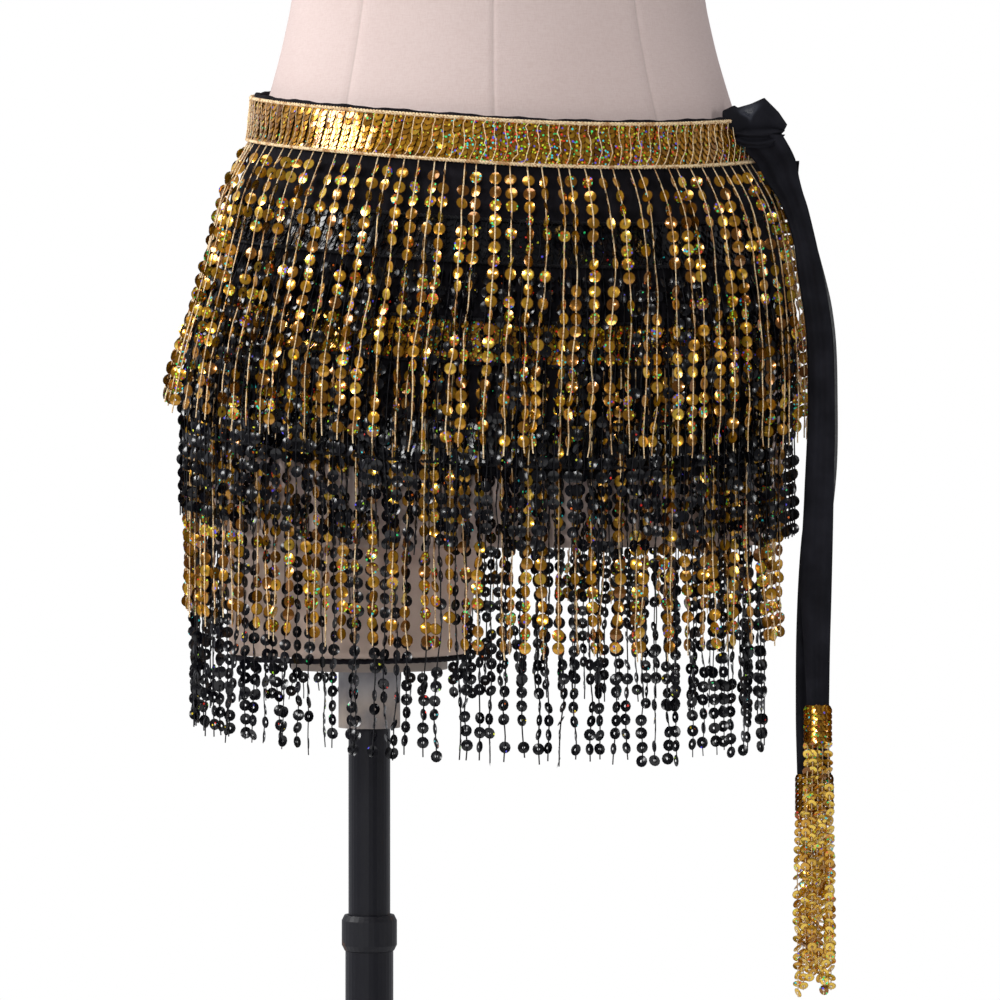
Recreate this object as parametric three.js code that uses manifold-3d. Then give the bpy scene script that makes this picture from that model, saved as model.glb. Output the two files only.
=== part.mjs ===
// A belly dance hip scarf, tied at one hip of a limbless dress form on a pole stand.
//
// Millimetres, +Z up. The front is -Y and the tie hangs on the +X side. The origin is the middle of the
// stand's foot, on the floor, with the pole on the Z axis. Cloth pieces are walls. A tier of sequin fringe
// is a plain curtain of the fringe's reach.
import * as THREE from "three";
import { mergeVertices } from "three/addons/utils/BufferGeometryUtils.js";
import Module from "manifold-3d";

const wasm = await Module();
wasm.setup();

// ---------------------------------------------------------------- driving dimensions

const GAP = 0.3; // clearance between pieces that touch
const BODY_X = 68; // the torso's middle line stands this far to the right of the pole

// The dress form's sections: half of its width, how far it reaches to the front and to the back, and how far
// its middle is shifted to the right, because the form leans a little over the hips.
const FORM = [
  { z: 723, half: 152, front: 104, back: 112, shift: 0 },
  { z: 750, half: 157, front: 109, back: 119, shift: -0.8 },
  { z: 785, half: 161.5, front: 113, back: 125, shift: -0.8 },
  { z: 825, half: 160, front: 113, back: 127, shift: 1 },
  { z: 865, half: 153.2, front: 110, back: 121, shift: 3.8 },
  { z: 905, half: 144.7, front: 107, back: 111, shift: 5 },
  { z: 940, half: 135, front: 102, back: 101, shift: 4.2 },
  { z: 970, half: 126, front: 97, back: 93, shift: 3.3 },
  { z: 1000, half: 118, front: 92, back: 88, shift: 3 },
  { z: 1030, half: 113, front: 90, back: 86, shift: 3 },
  { z: 1065, half: 117, front: 92, back: 88, shift: 3 },
  { z: 1110, half: 124, front: 98, back: 93, shift: 3 },
  { z: 1160, half: 132, front: 108, back: 98, shift: 3 },
  { z: 1210, half: 140, front: 120, back: 101, shift: 3 },
  { z: 1260, half: 147, front: 113, back: 102, shift: 3 },
  { z: 1310, half: 156, front: 93, back: 98, shift: 3 },
  { z: 1345, half: 161, front: 76, back: 86, shift: 3 },
  { z: 1368, half: 153, front: 66, back: 73, shift: 3 },
  { z: 1384, half: 124, front: 60, back: 64, shift: 3 },
  { z: 1398, half: 86, front: 55, back: 57, shift: 3 },
  { z: 1414, half: 63, front: 52, back: 54, shift: 3 },
  { z: 1450, half: 56, front: 50, back: 52, shift: 3 },
];
const FORM_SIDES = 40;

// The short stump of one thigh under the form, which the stand's socket goes into.
const STUMP = [
  { z: 663, half: 65, front: 66, back: 78, middle: -80 },
  { z: 700, half: 68, front: 71, back: 83, middle: -78 },
  { z: 745, half: 70, front: 76, back: 88, middle: -76 },
];
const PIPING_RADIUS = 2;

// The stand. Its upper pole slides in the lower one, and the collar's grip holds the form's height.
const STAND = {
  plateRadius: 43,
  plateThick: 8.5,
  socketRadius: 17,
  socketBottom: 622,
  upperRadius: 11.5,
  upperBottom: 230,
  bore: 11.9,
  collarTop: 519,
  collarBottom: 499.5,
  collarRadius: 15.2,
  collarChamfer: 3,
  lowerRadius: 13.2,
  hubTop: 60,
  hubRadius: 24,
  footRadius: 200,
  footThick: 12,
  footChamfer: 5,
  crownRadius: 52,
  crownTop: 24,
  hubFlare: 12,
};
const ROUND_SIDES = 32;
const FOOT_SIDES = 48;
const COLUMN_SIDES = 16;
const NECK_CAP = { thick: 8, inset: 2 };

// The scarf. A drop is measured straight down from the waist edge, which runs lowest at the front.
const WAIST_EDGE = { mean: 963, side: -9, back: 11, lift: 7 }; // lift raises it at the tie
const BINDING = { drop: 2.5, inner: 1.6, outer: 4.2 };
const CLOTH = { hem: 191, inner: 1.6, outer: 2.8 };
const TRIM = { first: 2.8, pitch: 53, height: 24, inner: 3.1, outer: 4.2 };
const FRINGE = { length: 154.5, start: 3.3, thick: 1.5 };
const FRINGE_LAYERS = [11.4, 8.8, 6.2, 3.6]; // each curtain's distance off the form, top tier first
const OPENING = { atWaist: 24, atHem: 112 }; // the side slit, wider towards the hem
const BAND_HEIGHT = TRIM.first + TRIM.height;
const BAND_LEAN = 0.35; // how much of the form's narrowing the stiff waist band follows
const WRAP_STEPS = 42;

// The tie: its two tails hang from the knot, side by side, each folded once along its length.
const KNOT = { x: 155.3, y: -31, z: 942, size: [12, 8, 8.4] };
const LOOP = { x: 143, y: -43, width: 34, bottom: 951, top: 968, puff: 4.5, thick: 1.2, pinch: 0.7 };
const LOOP_SWING = 24; // its outer end is this much nearer to the knot than its inner end
const LOOP_CREST = { peak: 0.14, fallInner: 11, fallOuter: 36 }; // it is highest off its middle
const STRAP = { thick: 1.5, height: 16, waist: 7, clear: 0.03, end: -22.6, apart: 3 };
const TAIL_FOLD = { thick: 1.2, radius: 1.6, short: 4 };
const TAILS = {
  front: {
    y: -32,
    rows: [
      { z: 932, x: 157, width: 18 },
      { z: 922, x: 160.5, width: 15.5 },
      { z: 908, x: 165, width: 12.5 },
      { z: 890, x: 169.5, width: 12 },
      { z: 872, x: 172, width: 13.4 },
      { z: 838, x: 177, width: 14 },
      { z: 800, x: 178.3, width: 14.5 },
      { z: 750, x: 177, width: 16 },
      { z: 700, x: 175.5, width: 17 },
      { z: 665, x: 176, width: 14 },
      { z: 636, x: 176.5, width: 12 },
    ],
  },
  back: {
    y: -23,
    rows: [
      { z: 932, x: 160, width: 12 },
      { z: 905, x: 166, width: 12 },
      { z: 872, x: 173.5, width: 12 },
      { z: 838, x: 179.5, width: 12 },
      { z: 800, x: 180.5, width: 12.5 },
      { z: 765, x: 179.5, width: 12.5 },
      { z: 725, x: 175, width: 14 },
      { z: 680, x: 172.5, width: 14 },
      { z: 630, x: 172.5, width: 16 },
      { z: 598, x: 174, width: 17 },
    ],
  },
};
const TAIL_TRIM = { height: 19, depth: 7, side: 1 };
const TASSEL = { lengths: { front: 128, back: 103 }, depth: 7, spread: 1.25 };

const COLOURS = {
  linen: { color: 0xcdb7ad, roughness: 0.9, metalness: 0 },
  blackCord: { color: 0x111114, roughness: 0.7, metalness: 0 },
  greySocket: { color: 0x8b8b93, roughness: 0.5, metalness: 0.2 },
  blackSteel: { color: 0x1a1a20, roughness: 0.4, metalness: 0.6 },
  blackCloth: { color: 0x0c0c10, roughness: 0.8, metalness: 0 },
  goldSequin: { color: 0xc9962c, roughness: 0.25, metalness: 0.9 },
  blackSequin: { color: 0x08080c, roughness: 0.2, metalness: 0.6 },
};

// ---------------------------------------------------------------- making closed bodies

// A closed geometry from points and triangles, turned so that its faces point out.
function closedBody(points, faces) {
  let volume = 0;
  for (const [a, b, c] of faces)
    volume += points[a].dot(new THREE.Vector3().crossVectors(points[b], points[c]));
  const turned = volume < 0 ? faces.map(([a, b, c]) => [a, c, b]) : faces;
  return new THREE.BufferGeometry().setFromPoints(points).setIndex(turned.flat());
}

// A wall whose two faces come from at(u, v, side), with side 0 on its inside and 1 on its outside.
function wall(stepsU, stepsV, at) {
  const points = [];
  const faces = [];
  const row = stepsV + 1;
  const layer = (stepsU + 1) * row;
  for (const side of [0, 1])
    for (let i = 0; i <= stepsU; i++)
      for (let j = 0; j <= stepsV; j++) points.push(at(i / stepsU, j / stepsV, side));
  const quad = (a, b, c, d) => faces.push([a, b, c], [a, c, d]);
  const index = (i, j, side) => side * layer + i * row + j;
  for (let i = 0; i < stepsU; i++)
    for (let j = 0; j < stepsV; j++) {
      quad(index(i, j, 1), index(i + 1, j, 1), index(i + 1, j + 1, 1), index(i, j + 1, 1));
      quad(index(i, j, 0), index(i, j + 1, 0), index(i + 1, j + 1, 0), index(i + 1, j, 0));
    }
  for (let i = 0; i < stepsU; i++) {
    quad(index(i, 0, 0), index(i + 1, 0, 0), index(i + 1, 0, 1), index(i, 0, 1));
    quad(index(i, stepsV, 1), index(i + 1, stepsV, 1), index(i + 1, stepsV, 0), index(i, stepsV, 0));
  }
  for (let j = 0; j < stepsV; j++) {
    quad(index(0, j, 0), index(0, j, 1), index(0, j + 1, 1), index(0, j + 1, 0));
    quad(index(stepsU, j, 1), index(stepsU, j, 0), index(stepsU, j + 1, 0), index(stepsU, j + 1, 1));
  }
  return closedBody(points, faces);
}

// A solid lofted through rings of equal length, closed by a fan at each end.
function loft(rings) {
  const sides = rings[0].length;
  const points = rings.flat();
  const faces = [];
  for (let r = 0; r + 1 < rings.length; r++)
    for (let k = 0; k < sides; k++) {
      const a = r * sides + k;
      const b = r * sides + ((k + 1) % sides);
      faces.push([a, b, b + sides], [a, b + sides, a + sides]);
    }
  for (const [first, flip] of [[0, true], [(rings.length - 1) * sides, false]]) {
    const middle = new THREE.Vector3();
    for (let k = 0; k < sides; k++) middle.addScaledVector(points[first + k], 1 / sides);
    const centre = points.push(middle) - 1;
    for (let k = 0; k < sides; k++) {
      const a = first + k;
      const b = first + ((k + 1) % sides);
      faces.push(flip ? [centre, b, a] : [centre, a, b]);
    }
  }
  return closedBody(points, faces);
}

// One body from two closed geometries that overlap.
function joined(first, second) {
  const [a, b] = [first, second].map((geometry) => {
    const bare = new THREE.BufferGeometry()
      .setAttribute("position", geometry.getAttribute("position"))
      .setIndex(geometry.getIndex());
    const merged = mergeVertices(bare, 1e-3);
    return new wasm.Manifold(
      new wasm.Mesh({
        numProp: 3,
        vertProperties: merged.getAttribute("position").array,
        triVerts: new Uint32Array(merged.getIndex().array),
      }),
    );
  });
  const mesh = a.add(b).getMesh();
  return new THREE.BufferGeometry()
    .setAttribute("position", new THREE.BufferAttribute(new Float32Array(mesh.vertProperties), 3))
    .setIndex(new THREE.BufferAttribute(mesh.triVerts, 1));
}

// A solid of revolution from [radius, height] corners, standing on the Z axis.
function turned(profile, sides) {
  const corners = profile.map(([radius, height]) => new THREE.Vector2(radius, height));
  return new THREE.LatheGeometry(corners, sides).rotateX(Math.PI / 2);
}

function rod(radius, bottom, top) {
  return turned([[0, bottom], [radius, bottom], [radius, top], [0, top]], ROUND_SIDES);
}

// ---------------------------------------------------------------- the dress form's surface

const clamp01 = (value) => Math.min(1, Math.max(0, value));

// A column of a table at a height between its rows, on a smooth curve through the rows.
function column(table, name, z) {
  const ordered = table[0].z < table.at(-1).z ? table : [...table].reverse();
  const last = ordered.length - 1;
  let i = 0;
  while (i < last - 1 && z > ordered[i + 1].z) i++;
  const slope = (k) => {
    const before = ordered[Math.max(k - 1, 0)];
    const after = ordered[Math.min(k + 1, last)];
    return (after[name] - before[name]) / (after.z - before.z);
  };
  const [low, high] = [ordered[i], ordered[i + 1]];
  const span = high.z - low.z;
  const t = clamp01((z - low.z) / span);
  const s = t * t * (3 - 2 * t);
  const bendLow = t * (1 - t) * (1 - t) * span * slope(i);
  const bendHigh = t * t * (t - 1) * span * slope(i + 1);
  return low[name] * (1 - s) + high[name] * s + bendLow + bendHigh;
}

// A point on an oval section that is flatter or fuller at the front than at the back.
function onSection({ half, front, back }, middle, angle, off, z) {
  const deep = Math.sin(angle) < 0 ? front : back;
  return new THREE.Vector3(
    middle + (half + off) * Math.cos(angle),
    (deep + off) * Math.sin(angle),
    z,
  );
}

function ring(section, middle, off, z) {
  return Array.from({ length: FORM_SIDES }, (_, k) =>
    onSection(section, middle, (2 * Math.PI * k) / FORM_SIDES, off, z),
  );
}

function formGeometry() {
  const torso = loft(FORM.map((row) => ring(row, BODY_X + row.shift, 0, row.z)));
  const stump = loft(STUMP.map((row) => ring(row, BODY_X + row.middle, 0, row.z)));
  return joined(torso, stump);
}

function neckCapGeometry() {
  const neck = FORM.at(-1);
  const levels = [neck.z + GAP, neck.z + NECK_CAP.thick];
  return loft(levels.map((z) => ring(neck, BODY_X + neck.shift, -NECK_CAP.inset, z)));
}

// The cord sewn round the stump's lower edge: a round section carried round the oval.
function pipingGeometry() {
  const row = STUMP[0];
  const sections = 8;
  const points = [];
  const faces = [];
  for (let k = 0; k < FORM_SIDES; k++)
    for (let s = 0; s < sections; s++) {
      const turn = (2 * Math.PI * s) / sections;
      const off = -PIPING_RADIUS + PIPING_RADIUS * Math.cos(turn);
      const z = row.z - GAP - PIPING_RADIUS + PIPING_RADIUS * Math.sin(turn);
      points.push(onSection(row, BODY_X + row.middle, (2 * Math.PI * k) / FORM_SIDES, off, z));
    }
  for (let k = 0; k < FORM_SIDES; k++)
    for (let s = 0; s < sections; s++) {
      const next = (k + 1) % FORM_SIDES;
      const up = (s + 1) % sections;
      const [a, b] = [k * sections + s, next * sections + s];
      const [c, d] = [next * sections + up, k * sections + up];
      faces.push([a, b, c], [a, c, d]);
    }
  return closedBody(points, faces);
}

// The collar grips the upper pole where it comes out of the lower one.
function collarGeometry() {
  const { bore, collarRadius: outer, collarBottom: bottom, collarTop: top, collarChamfer: cut } = STAND;
  const profile = [
    [bore, bottom],
    [outer - cut / 2, bottom],
    [outer, bottom + cut],
    [outer, top - cut],
    [outer - cut / 2, top],
    [bore, top],
    [bore, bottom],
  ];
  return turned(profile, ROUND_SIDES);
}

function lowerPoleGeometry() {
  const { bore, lowerRadius: outer } = STAND;
  const bottom = STAND.hubTop + GAP;
  const top = STAND.collarBottom - GAP;
  return turned([[bore, bottom], [outer, bottom], [outer, top], [bore, top], [bore, bottom]], ROUND_SIDES);
}

function footGeometry() {
  const { footRadius, footThick, footChamfer, crownRadius, crownTop, hubRadius, hubFlare, hubTop } = STAND;
  const profile = [
    [0, 0],
    [footRadius, 0],
    [footRadius, footThick - footChamfer],
    [footRadius - footChamfer, footThick],
    [crownRadius, crownTop],
    [hubRadius, crownTop + hubFlare],
    [hubRadius, hubTop],
    [0, hubTop],
  ];
  return turned(profile, FOOT_SIDES);
}

// ---------------------------------------------------------------- the scarf's surface

const LAP_SAMPLES = 360;
const FULLEST = 785; // the height of the form's fullest section, from which the cloth hangs straight
const FULLEST_BACK = 825;

// The section that hanging cloth follows: the form's own, or its fullest where the form draws in below.
function drapeSection(z) {
  return {
    half: column(FORM, "half", Math.max(z, FULLEST)),
    front: column(FORM, "front", Math.max(z, FULLEST)),
    back: column(FORM, "back", Math.max(z, FULLEST_BACK)),
    middle: BODY_X + column(FORM, "shift", Math.max(z, FULLEST)),
  };
}

function waistEdge(angle) {
  const { mean, side, back, lift } = WAIST_EDGE;
  const towardsTie = Math.max(0, Math.cos(angle));
  return mean + side * Math.cos(angle) + back * Math.sin(angle) + lift * towardsTie ** 2;
}

const openingAt = (drop) =>
  OPENING.atWaist + (OPENING.atHem - OPENING.atWaist) * clamp01(drop / CLOTH.hem);

// A point of the scarf at an angle, a drop below the waist edge and a distance off the form.
function onScarf(angle, drop, off) {
  const z = waistEdge(angle) - drop;
  const lean = drop < BAND_HEIGHT ? (1 - BAND_LEAN) * (BAND_HEIGHT - drop) : 0;
  const section = drapeSection(z - lean);
  return onSection(section, section.middle, angle, off, z);
}

// The angle at a share of the wrap's length: 0 is its front end by the slit, 1 its back end.
const laps = new Map();
function wrapAngle(share, drop) {
  if (!laps.has(drop)) {
    const lengths = [0];
    for (let k = 1; k <= LAP_SAMPLES; k++) {
      const [from, to] = [k - 1, k].map((n) => onScarf((-2 * Math.PI * n) / LAP_SAMPLES, drop, 0));
      lengths.push(lengths[k - 1] + Math.hypot(to.x - from.x, to.y - from.y));
    }
    laps.set(drop, lengths);
  }
  const lengths = laps.get(drop);
  const opening = openingAt(drop);
  const along = opening / 2 + share * (lengths[LAP_SAMPLES] - opening);
  let k = 1;
  while (lengths[k] < along) k++;
  const part = (along - lengths[k - 1]) / (lengths[k] - lengths[k - 1]);
  return (-2 * Math.PI * (k - 1 + part)) / LAP_SAMPLES;
}

// A band of the scarf through a list of drops, as wide as the cloth is at each.
function scarfBand(drops, { inner, outer }) {
  const rows = drops.length - 1;
  return wall(WRAP_STEPS, rows, (u, v, side) => {
    const drop = drops[Math.round(v * rows)];
    return onScarf(wrapAngle(u, drop), drop, side ? outer : inner);
  });
}

const trimTop = (tier) => TRIM.first + tier * TRIM.pitch;
const trimBottom = (tier) => trimTop(tier) + TRIM.height;

// One tier's curtain: its strings leave the trim, swing out over the tiers below and hang straight down.
function fringeCurtain(tier) {
  const top = trimBottom(tier);
  const flare = TRIM.pitch / 2;
  const down = [GAP, flare, 2 * flare, 3 * flare, 4 * flare, 5 * flare, FRINGE.length];
  const rows = down.length - 1;
  return wall(WRAP_STEPS, rows, (u, v, side) => {
    const hang = down[Math.round(v * rows)];
    const swing = clamp01(hang / flare) * (FRINGE_LAYERS[tier] - FRINGE.start);
    const off = FRINGE.start + swing + (side ? FRINGE.thick : 0);
    return onScarf(wrapAngle(u, trimTop(tier)), top + hang, off);
  });
}

// ---------------------------------------------------------------- the tie

// A tail's fold in plan: its long front layer, the fold at its inner edge and its shorter back layer.
function foldPlan(width) {
  const { radius, short } = TAIL_FOLD;
  const inner = -width / 2 + radius;
  const corners = [[width / 2, -radius], [0, -radius], [inner, -radius]];
  for (const turn of [0.25, 0.5, 0.75])
    corners.push([inner - radius * Math.sin(turn * Math.PI), -radius * Math.cos(turn * Math.PI)]);
  corners.push([inner, radius], [width / 2 - short, radius]);
  return corners.map(([x, y]) => new THREE.Vector2(x, y));
}

function tailGeometry({ y, rows }) {
  const bottom = rows.at(-1).z;
  const top = rows[0].z;
  const folds = foldPlan(1).length - 1;
  return wall(rows.length - 1, folds, (u, v, side) => {
    const z = top + u * (bottom - top);
    const width = column(rows, "width", z);
    const plan = foldPlan(width);
    const k = Math.round(v * folds);
    const before = plan[Math.max(k - 1, 0)];
    const after = plan[Math.min(k + 1, folds)];
    const along = after.clone().sub(before).normalize();
    const step = (side - 0.5) * TAIL_FOLD.thick;
    return new THREE.Vector3(
      BODY_X + column(rows, "x", z) + plan[k].x + along.y * step,
      y + plan[k].y - along.x * step,
      z,
    );
  });
}

// A flat oval column, for the sequin sleeve and the tassel at a tail's end.
function ovalColumn(levels, y) {
  return loft(
    levels.map(({ z, x, width, depth }) =>
      Array.from({ length: COLUMN_SIDES }, (_, k) => {
        const turn = (2 * Math.PI * k) / COLUMN_SIDES;
        return new THREE.Vector3(
          BODY_X + x + (width / 2) * Math.cos(turn),
          y + (depth / 2) * Math.sin(turn),
          z,
        );
      }),
    ),
  );
}

function tailTrimGeometry({ y, rows }) {
  const { x, width, z } = rows.at(-1);
  const wide = width + 2 * TAIL_TRIM.side;
  const top = z - GAP;
  const level = { x, width: wide, depth: TAIL_TRIM.depth };
  return ovalColumn([{ ...level, z: top }, { ...level, z: top - TAIL_TRIM.height }], y);
}

function tasselGeometry({ y, rows }, length) {
  const { x, width, z } = rows.at(-1);
  const top = z - 2 * GAP - TAIL_TRIM.height;
  const level = { x, width, depth: TASSEL.depth };
  return ovalColumn(
    [
      { ...level, z: top },
      { ...level, z: top - length / 3, width: width * TASSEL.spread },
      { ...level, z: top - length, width: width * TASSEL.spread },
    ],
    y,
  );
}

// The bow's loop: a front and a back layer that rise from the knot and meet in a fold along the top.
function loopGeometry() {
  return wall(10, 7, (u, v, side) => {
    const turn = Math.PI * u;
    const across = v - 0.5;
    const step = (side - 0.5) * LOOP.thick;
    const beside = across - LOOP_CREST.peak;
    const fall = beside < 0 ? LOOP_CREST.fallInner : LOOP_CREST.fallOuter;
    const crest = LOOP.top - LOOP.bottom - fall * Math.abs(beside);
    const wide = LOOP.width * (LOOP.pinch + (1 - LOOP.pinch) * Math.sin(turn));
    return new THREE.Vector3(
      BODY_X + LOOP.x + wide * across,
      LOOP.y + LOOP_SWING * across - (LOOP.puff + step) * Math.cos(turn),
      LOOP.bottom + (crest + step) * Math.sin(turn),
    );
  });
}

function knotGeometry() {
  return new THREE.SphereGeometry(1, 16, 12)
    .scale(...KNOT.size)
    .translate(BODY_X + KNOT.x, KNOT.y, KNOT.z);
}

// The strap from one end of the waist band, which bows out on its way to the knot and is gathered in there.
function strapGeometry(share, aside, bowY) {
  const drop = BAND_HEIGHT / 2;
  const away = share ? -STRAP.clear : STRAP.clear;
  const from = onScarf(wrapAngle(share, drop) + away, drop, STRAP.thick);
  const bow = new THREE.Vector3(BODY_X + KNOT.x + aside, bowY, KNOT.z);
  const path = new THREE.QuadraticBezierCurve3(from, bow, bow.clone().setY(STRAP.end));
  return wall(6, 2, (u, v, side) => {
    const point = path.getPoint(u);
    const along = path.getTangent(u);
    const across = new THREE.Vector3(along.y, -along.x, 0).normalize();
    const height = STRAP.height + (STRAP.waist - STRAP.height) * u;
    point.addScaledVector(across, (side - 0.5) * STRAP.thick);
    point.z += (0.5 - v) * height;
    return point;
  });
}

// ---------------------------------------------------------------- the model

const model = new THREE.Group();

function add(name, geometry, finish) {
  const mesh = new THREE.Mesh(geometry, new THREE.MeshStandardMaterial(COLOURS[finish]));
  mesh.name = name;
  model.add(mesh);
}

// The dress form and its stand.
const plateTop = STUMP[0].z - GAP;
const plateBottom = plateTop - STAND.plateThick;
add("form_torso", formGeometry(), "linen");
add("form_neck_cap", neckCapGeometry(), "blackSteel");
add("form_piping", pipingGeometry(), "blackCord");
add("socket_plate", rod(STAND.plateRadius, plateBottom, plateTop), "greySocket");
add("pole_socket", rod(STAND.socketRadius, STAND.socketBottom, plateBottom - GAP), "greySocket");
add("upper_pole", rod(STAND.upperRadius, STAND.upperBottom, STAND.socketBottom - GAP), "blackSteel");
add("pole_collar", collarGeometry(), "blackSteel");
add("lower_pole", lowerPoleGeometry(), "blackSteel");
add("stand_foot", footGeometry(), "blackSteel");

// The scarf: the bound cloth, and four tiers that each have a sewn trim and a fringe.
add("waist_binding", scarfBand([0, BINDING.drop], BINDING), "blackCloth");
const tiers = FRINGE_LAYERS.map((_, tier) => tier);
const clothDrops = [...tiers.flatMap((tier) => [trimTop(tier), trimBottom(tier)]), CLOTH.hem];
add("base_cloth", scarfBand(clothDrops, CLOTH), "blackCloth");
for (const tier of tiers) {
  const finish = tier % 2 ? "blackSequin" : "goldSequin";
  add(`trim_${tier + 1}`, scarfBand([trimTop(tier), trimBottom(tier)], TRIM), finish);
  add(`fringe_${tier + 1}`, fringeCurtain(tier), finish);
}

// The tie.
add("tie_knot", knotGeometry(), "blackCloth");
add("tie_loop", loopGeometry(), "blackCloth");
add("tie_strap_front", strapGeometry(0, -STRAP.apart, -3), "blackCloth");
add("tie_strap_back", strapGeometry(1, STRAP.apart, 8), "blackCloth");
for (const [side, tail] of Object.entries(TAILS)) {
  add(`tail_${side}`, tailGeometry(tail), "blackCloth");
  add(`tail_trim_${side}`, tailTrimGeometry(tail), "goldSequin");
  add(`tassel_${side}`, tasselGeometry(tail, TASSEL.lengths[side]), "goldSequin");
}

export default model;
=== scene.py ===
"""A belly dance hip scarf, tied at one hip of a limbless dress form on a pole stand.

Metres, +Z up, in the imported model's own frame: the pole stands on the Z axis, the front is -Y and the tie
hangs on the +X side. A drop is measured straight down from the scarf's waist edge, and a distance off the
form is measured outwards along its oval section.
"""

import logging
import math
from dataclasses import dataclass, field
from enum import Enum
from typing import Any, Optional

import bpy
import numpy as np
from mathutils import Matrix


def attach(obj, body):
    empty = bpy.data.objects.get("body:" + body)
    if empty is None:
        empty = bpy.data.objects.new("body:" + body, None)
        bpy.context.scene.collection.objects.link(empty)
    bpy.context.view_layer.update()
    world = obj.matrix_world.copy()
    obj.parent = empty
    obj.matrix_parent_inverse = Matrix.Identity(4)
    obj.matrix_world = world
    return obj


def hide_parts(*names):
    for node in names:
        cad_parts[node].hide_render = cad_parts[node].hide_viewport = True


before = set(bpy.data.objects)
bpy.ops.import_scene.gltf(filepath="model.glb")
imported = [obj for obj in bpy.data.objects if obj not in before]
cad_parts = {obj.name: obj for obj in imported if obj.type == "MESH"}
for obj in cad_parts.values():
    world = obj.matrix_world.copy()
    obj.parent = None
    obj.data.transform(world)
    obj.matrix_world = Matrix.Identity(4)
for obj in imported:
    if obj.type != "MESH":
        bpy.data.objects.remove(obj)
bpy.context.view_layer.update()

MM = 0.001
FULL_TURN = 2 * math.pi
RAISED = "raised"
log = logging.getLogger("hip_scarf")


# ---------------------------------------------------------------- shader kit


class Value:
    """A shader socket that takes part in Python arithmetic, each step adding its Math node."""

    def __init__(self, tree: "Tree", socket: bpy.types.NodeSocket) -> None:
        """Keeps a socket of a node tree.

        Args:
            tree: The tree that the socket belongs to.
            socket: The output socket.
        """
        self.tree = tree
        self.socket = socket

    def maths(self, operation: str, *others: Any, first: bool = True) -> "Value":
        """Adds a Math node.

        Args:
            operation: The Math node's operation.
            others: The other values, as numbers or Values.
            first: Whether this value is the first operand.

        Returns:
            The node's result.
        """
        terms = [self, *others] if first else [*others, self]
        return self.tree.value("ShaderNodeMath", {"operation": operation}, dict(enumerate(terms)))

    def __add__(self, other: Any) -> "Value":
        """Returns this plus other."""
        return self.maths("ADD", other)

    __radd__ = __add__

    def __mul__(self, other: Any) -> "Value":
        """Returns this times other."""
        return self.maths("MULTIPLY", other)

    __rmul__ = __mul__

    def __sub__(self, other: Any) -> "Value":
        """Returns this minus other."""
        return self.maths("SUBTRACT", other)

    def __rsub__(self, other: Any) -> "Value":
        """Returns other minus this."""
        return self.maths("SUBTRACT", other, first=False)

    def __lt__(self, other: Any) -> "Value":
        """Returns 1 where this is less than other, and 0 elsewhere."""
        return self.maths("LESS_THAN", other)

    def ease(self, low: float, high: float) -> "Value":
        """Returns a smooth step of this value.

        Args:
            low: The value that gives 0.
            high: The value that gives 1.

        Returns:
            The eased value, from 0 to 1.
        """
        settings = {"interpolation_type": "SMOOTHSTEP"}
        inputs = {"Value": self, "From Min": low, "From Max": high, "To Min": 0.0, "To Max": 1.0}
        return self.tree.value("ShaderNodeMapRange", settings, inputs)


class Tree:
    """A node tree that is filled through one method."""

    def __init__(self, tree: bpy.types.NodeTree) -> None:
        """Keeps the tree to fill.

        Args:
            tree: The node tree.
        """
        self.tree = tree

    def node(self, kind: str, settings: dict[str, Any], inputs: dict[Any, Any]) -> bpy.types.Node:
        """Adds a node.

        Args:
            kind: The node's type.
            settings: The node's own properties, set first. A ramp's stops are under "stops".
            inputs: A number, colour, Value or socket for each input's name or place.

        Returns:
            The node.
        """
        made = self.tree.nodes.new(kind)
        for key, setting in settings.items():
            if key == "stops":
                self._set_stops(made.color_ramp, setting)
            else:
                setattr(made, key, setting)
        for key, value in inputs.items():
            self.feed(made.inputs[key], value)
        return made

    @staticmethod
    def _set_stops(ramp: bpy.types.ColorRamp, stops: list[tuple[float, tuple[float, ...]]]) -> None:
        """Gives a ramp its stops.

        Args:
            ramp: The ramp.
            stops: Each stop's place and colour.
        """
        while len(ramp.elements) < len(stops):
            ramp.elements.new(1.0)
        for element, (place, colour) in zip(ramp.elements, stops):
            element.position = place
            element.color = (*colour, 1.0)

    def feed(self, socket: bpy.types.NodeSocket, value: Any) -> None:
        """Links or sets one input.

        Args:
            socket: The input.
            value: A number, colour, Value or socket.
        """
        if isinstance(value, Value):
            value = value.socket
        if isinstance(value, bpy.types.NodeSocket):
            self.tree.links.new(value, socket)
        elif isinstance(value, tuple) and len(value) == 3 and socket.type == "RGBA":
            socket.default_value = (*value, 1.0)
        else:
            socket.default_value = value

    def value(
        self, kind: str, settings: dict[str, Any], inputs: dict[Any, Any], output: Any = 0
    ) -> Value:
        """Adds a node and returns one of its outputs.

        Args:
            kind: The node's type.
            settings: The node's own properties.
            inputs: The node's inputs.
            output: The output's name or place.

        Returns:
            The output as a Value.
        """
        return Value(self, self.node(kind, settings, inputs).outputs[output])


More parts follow.
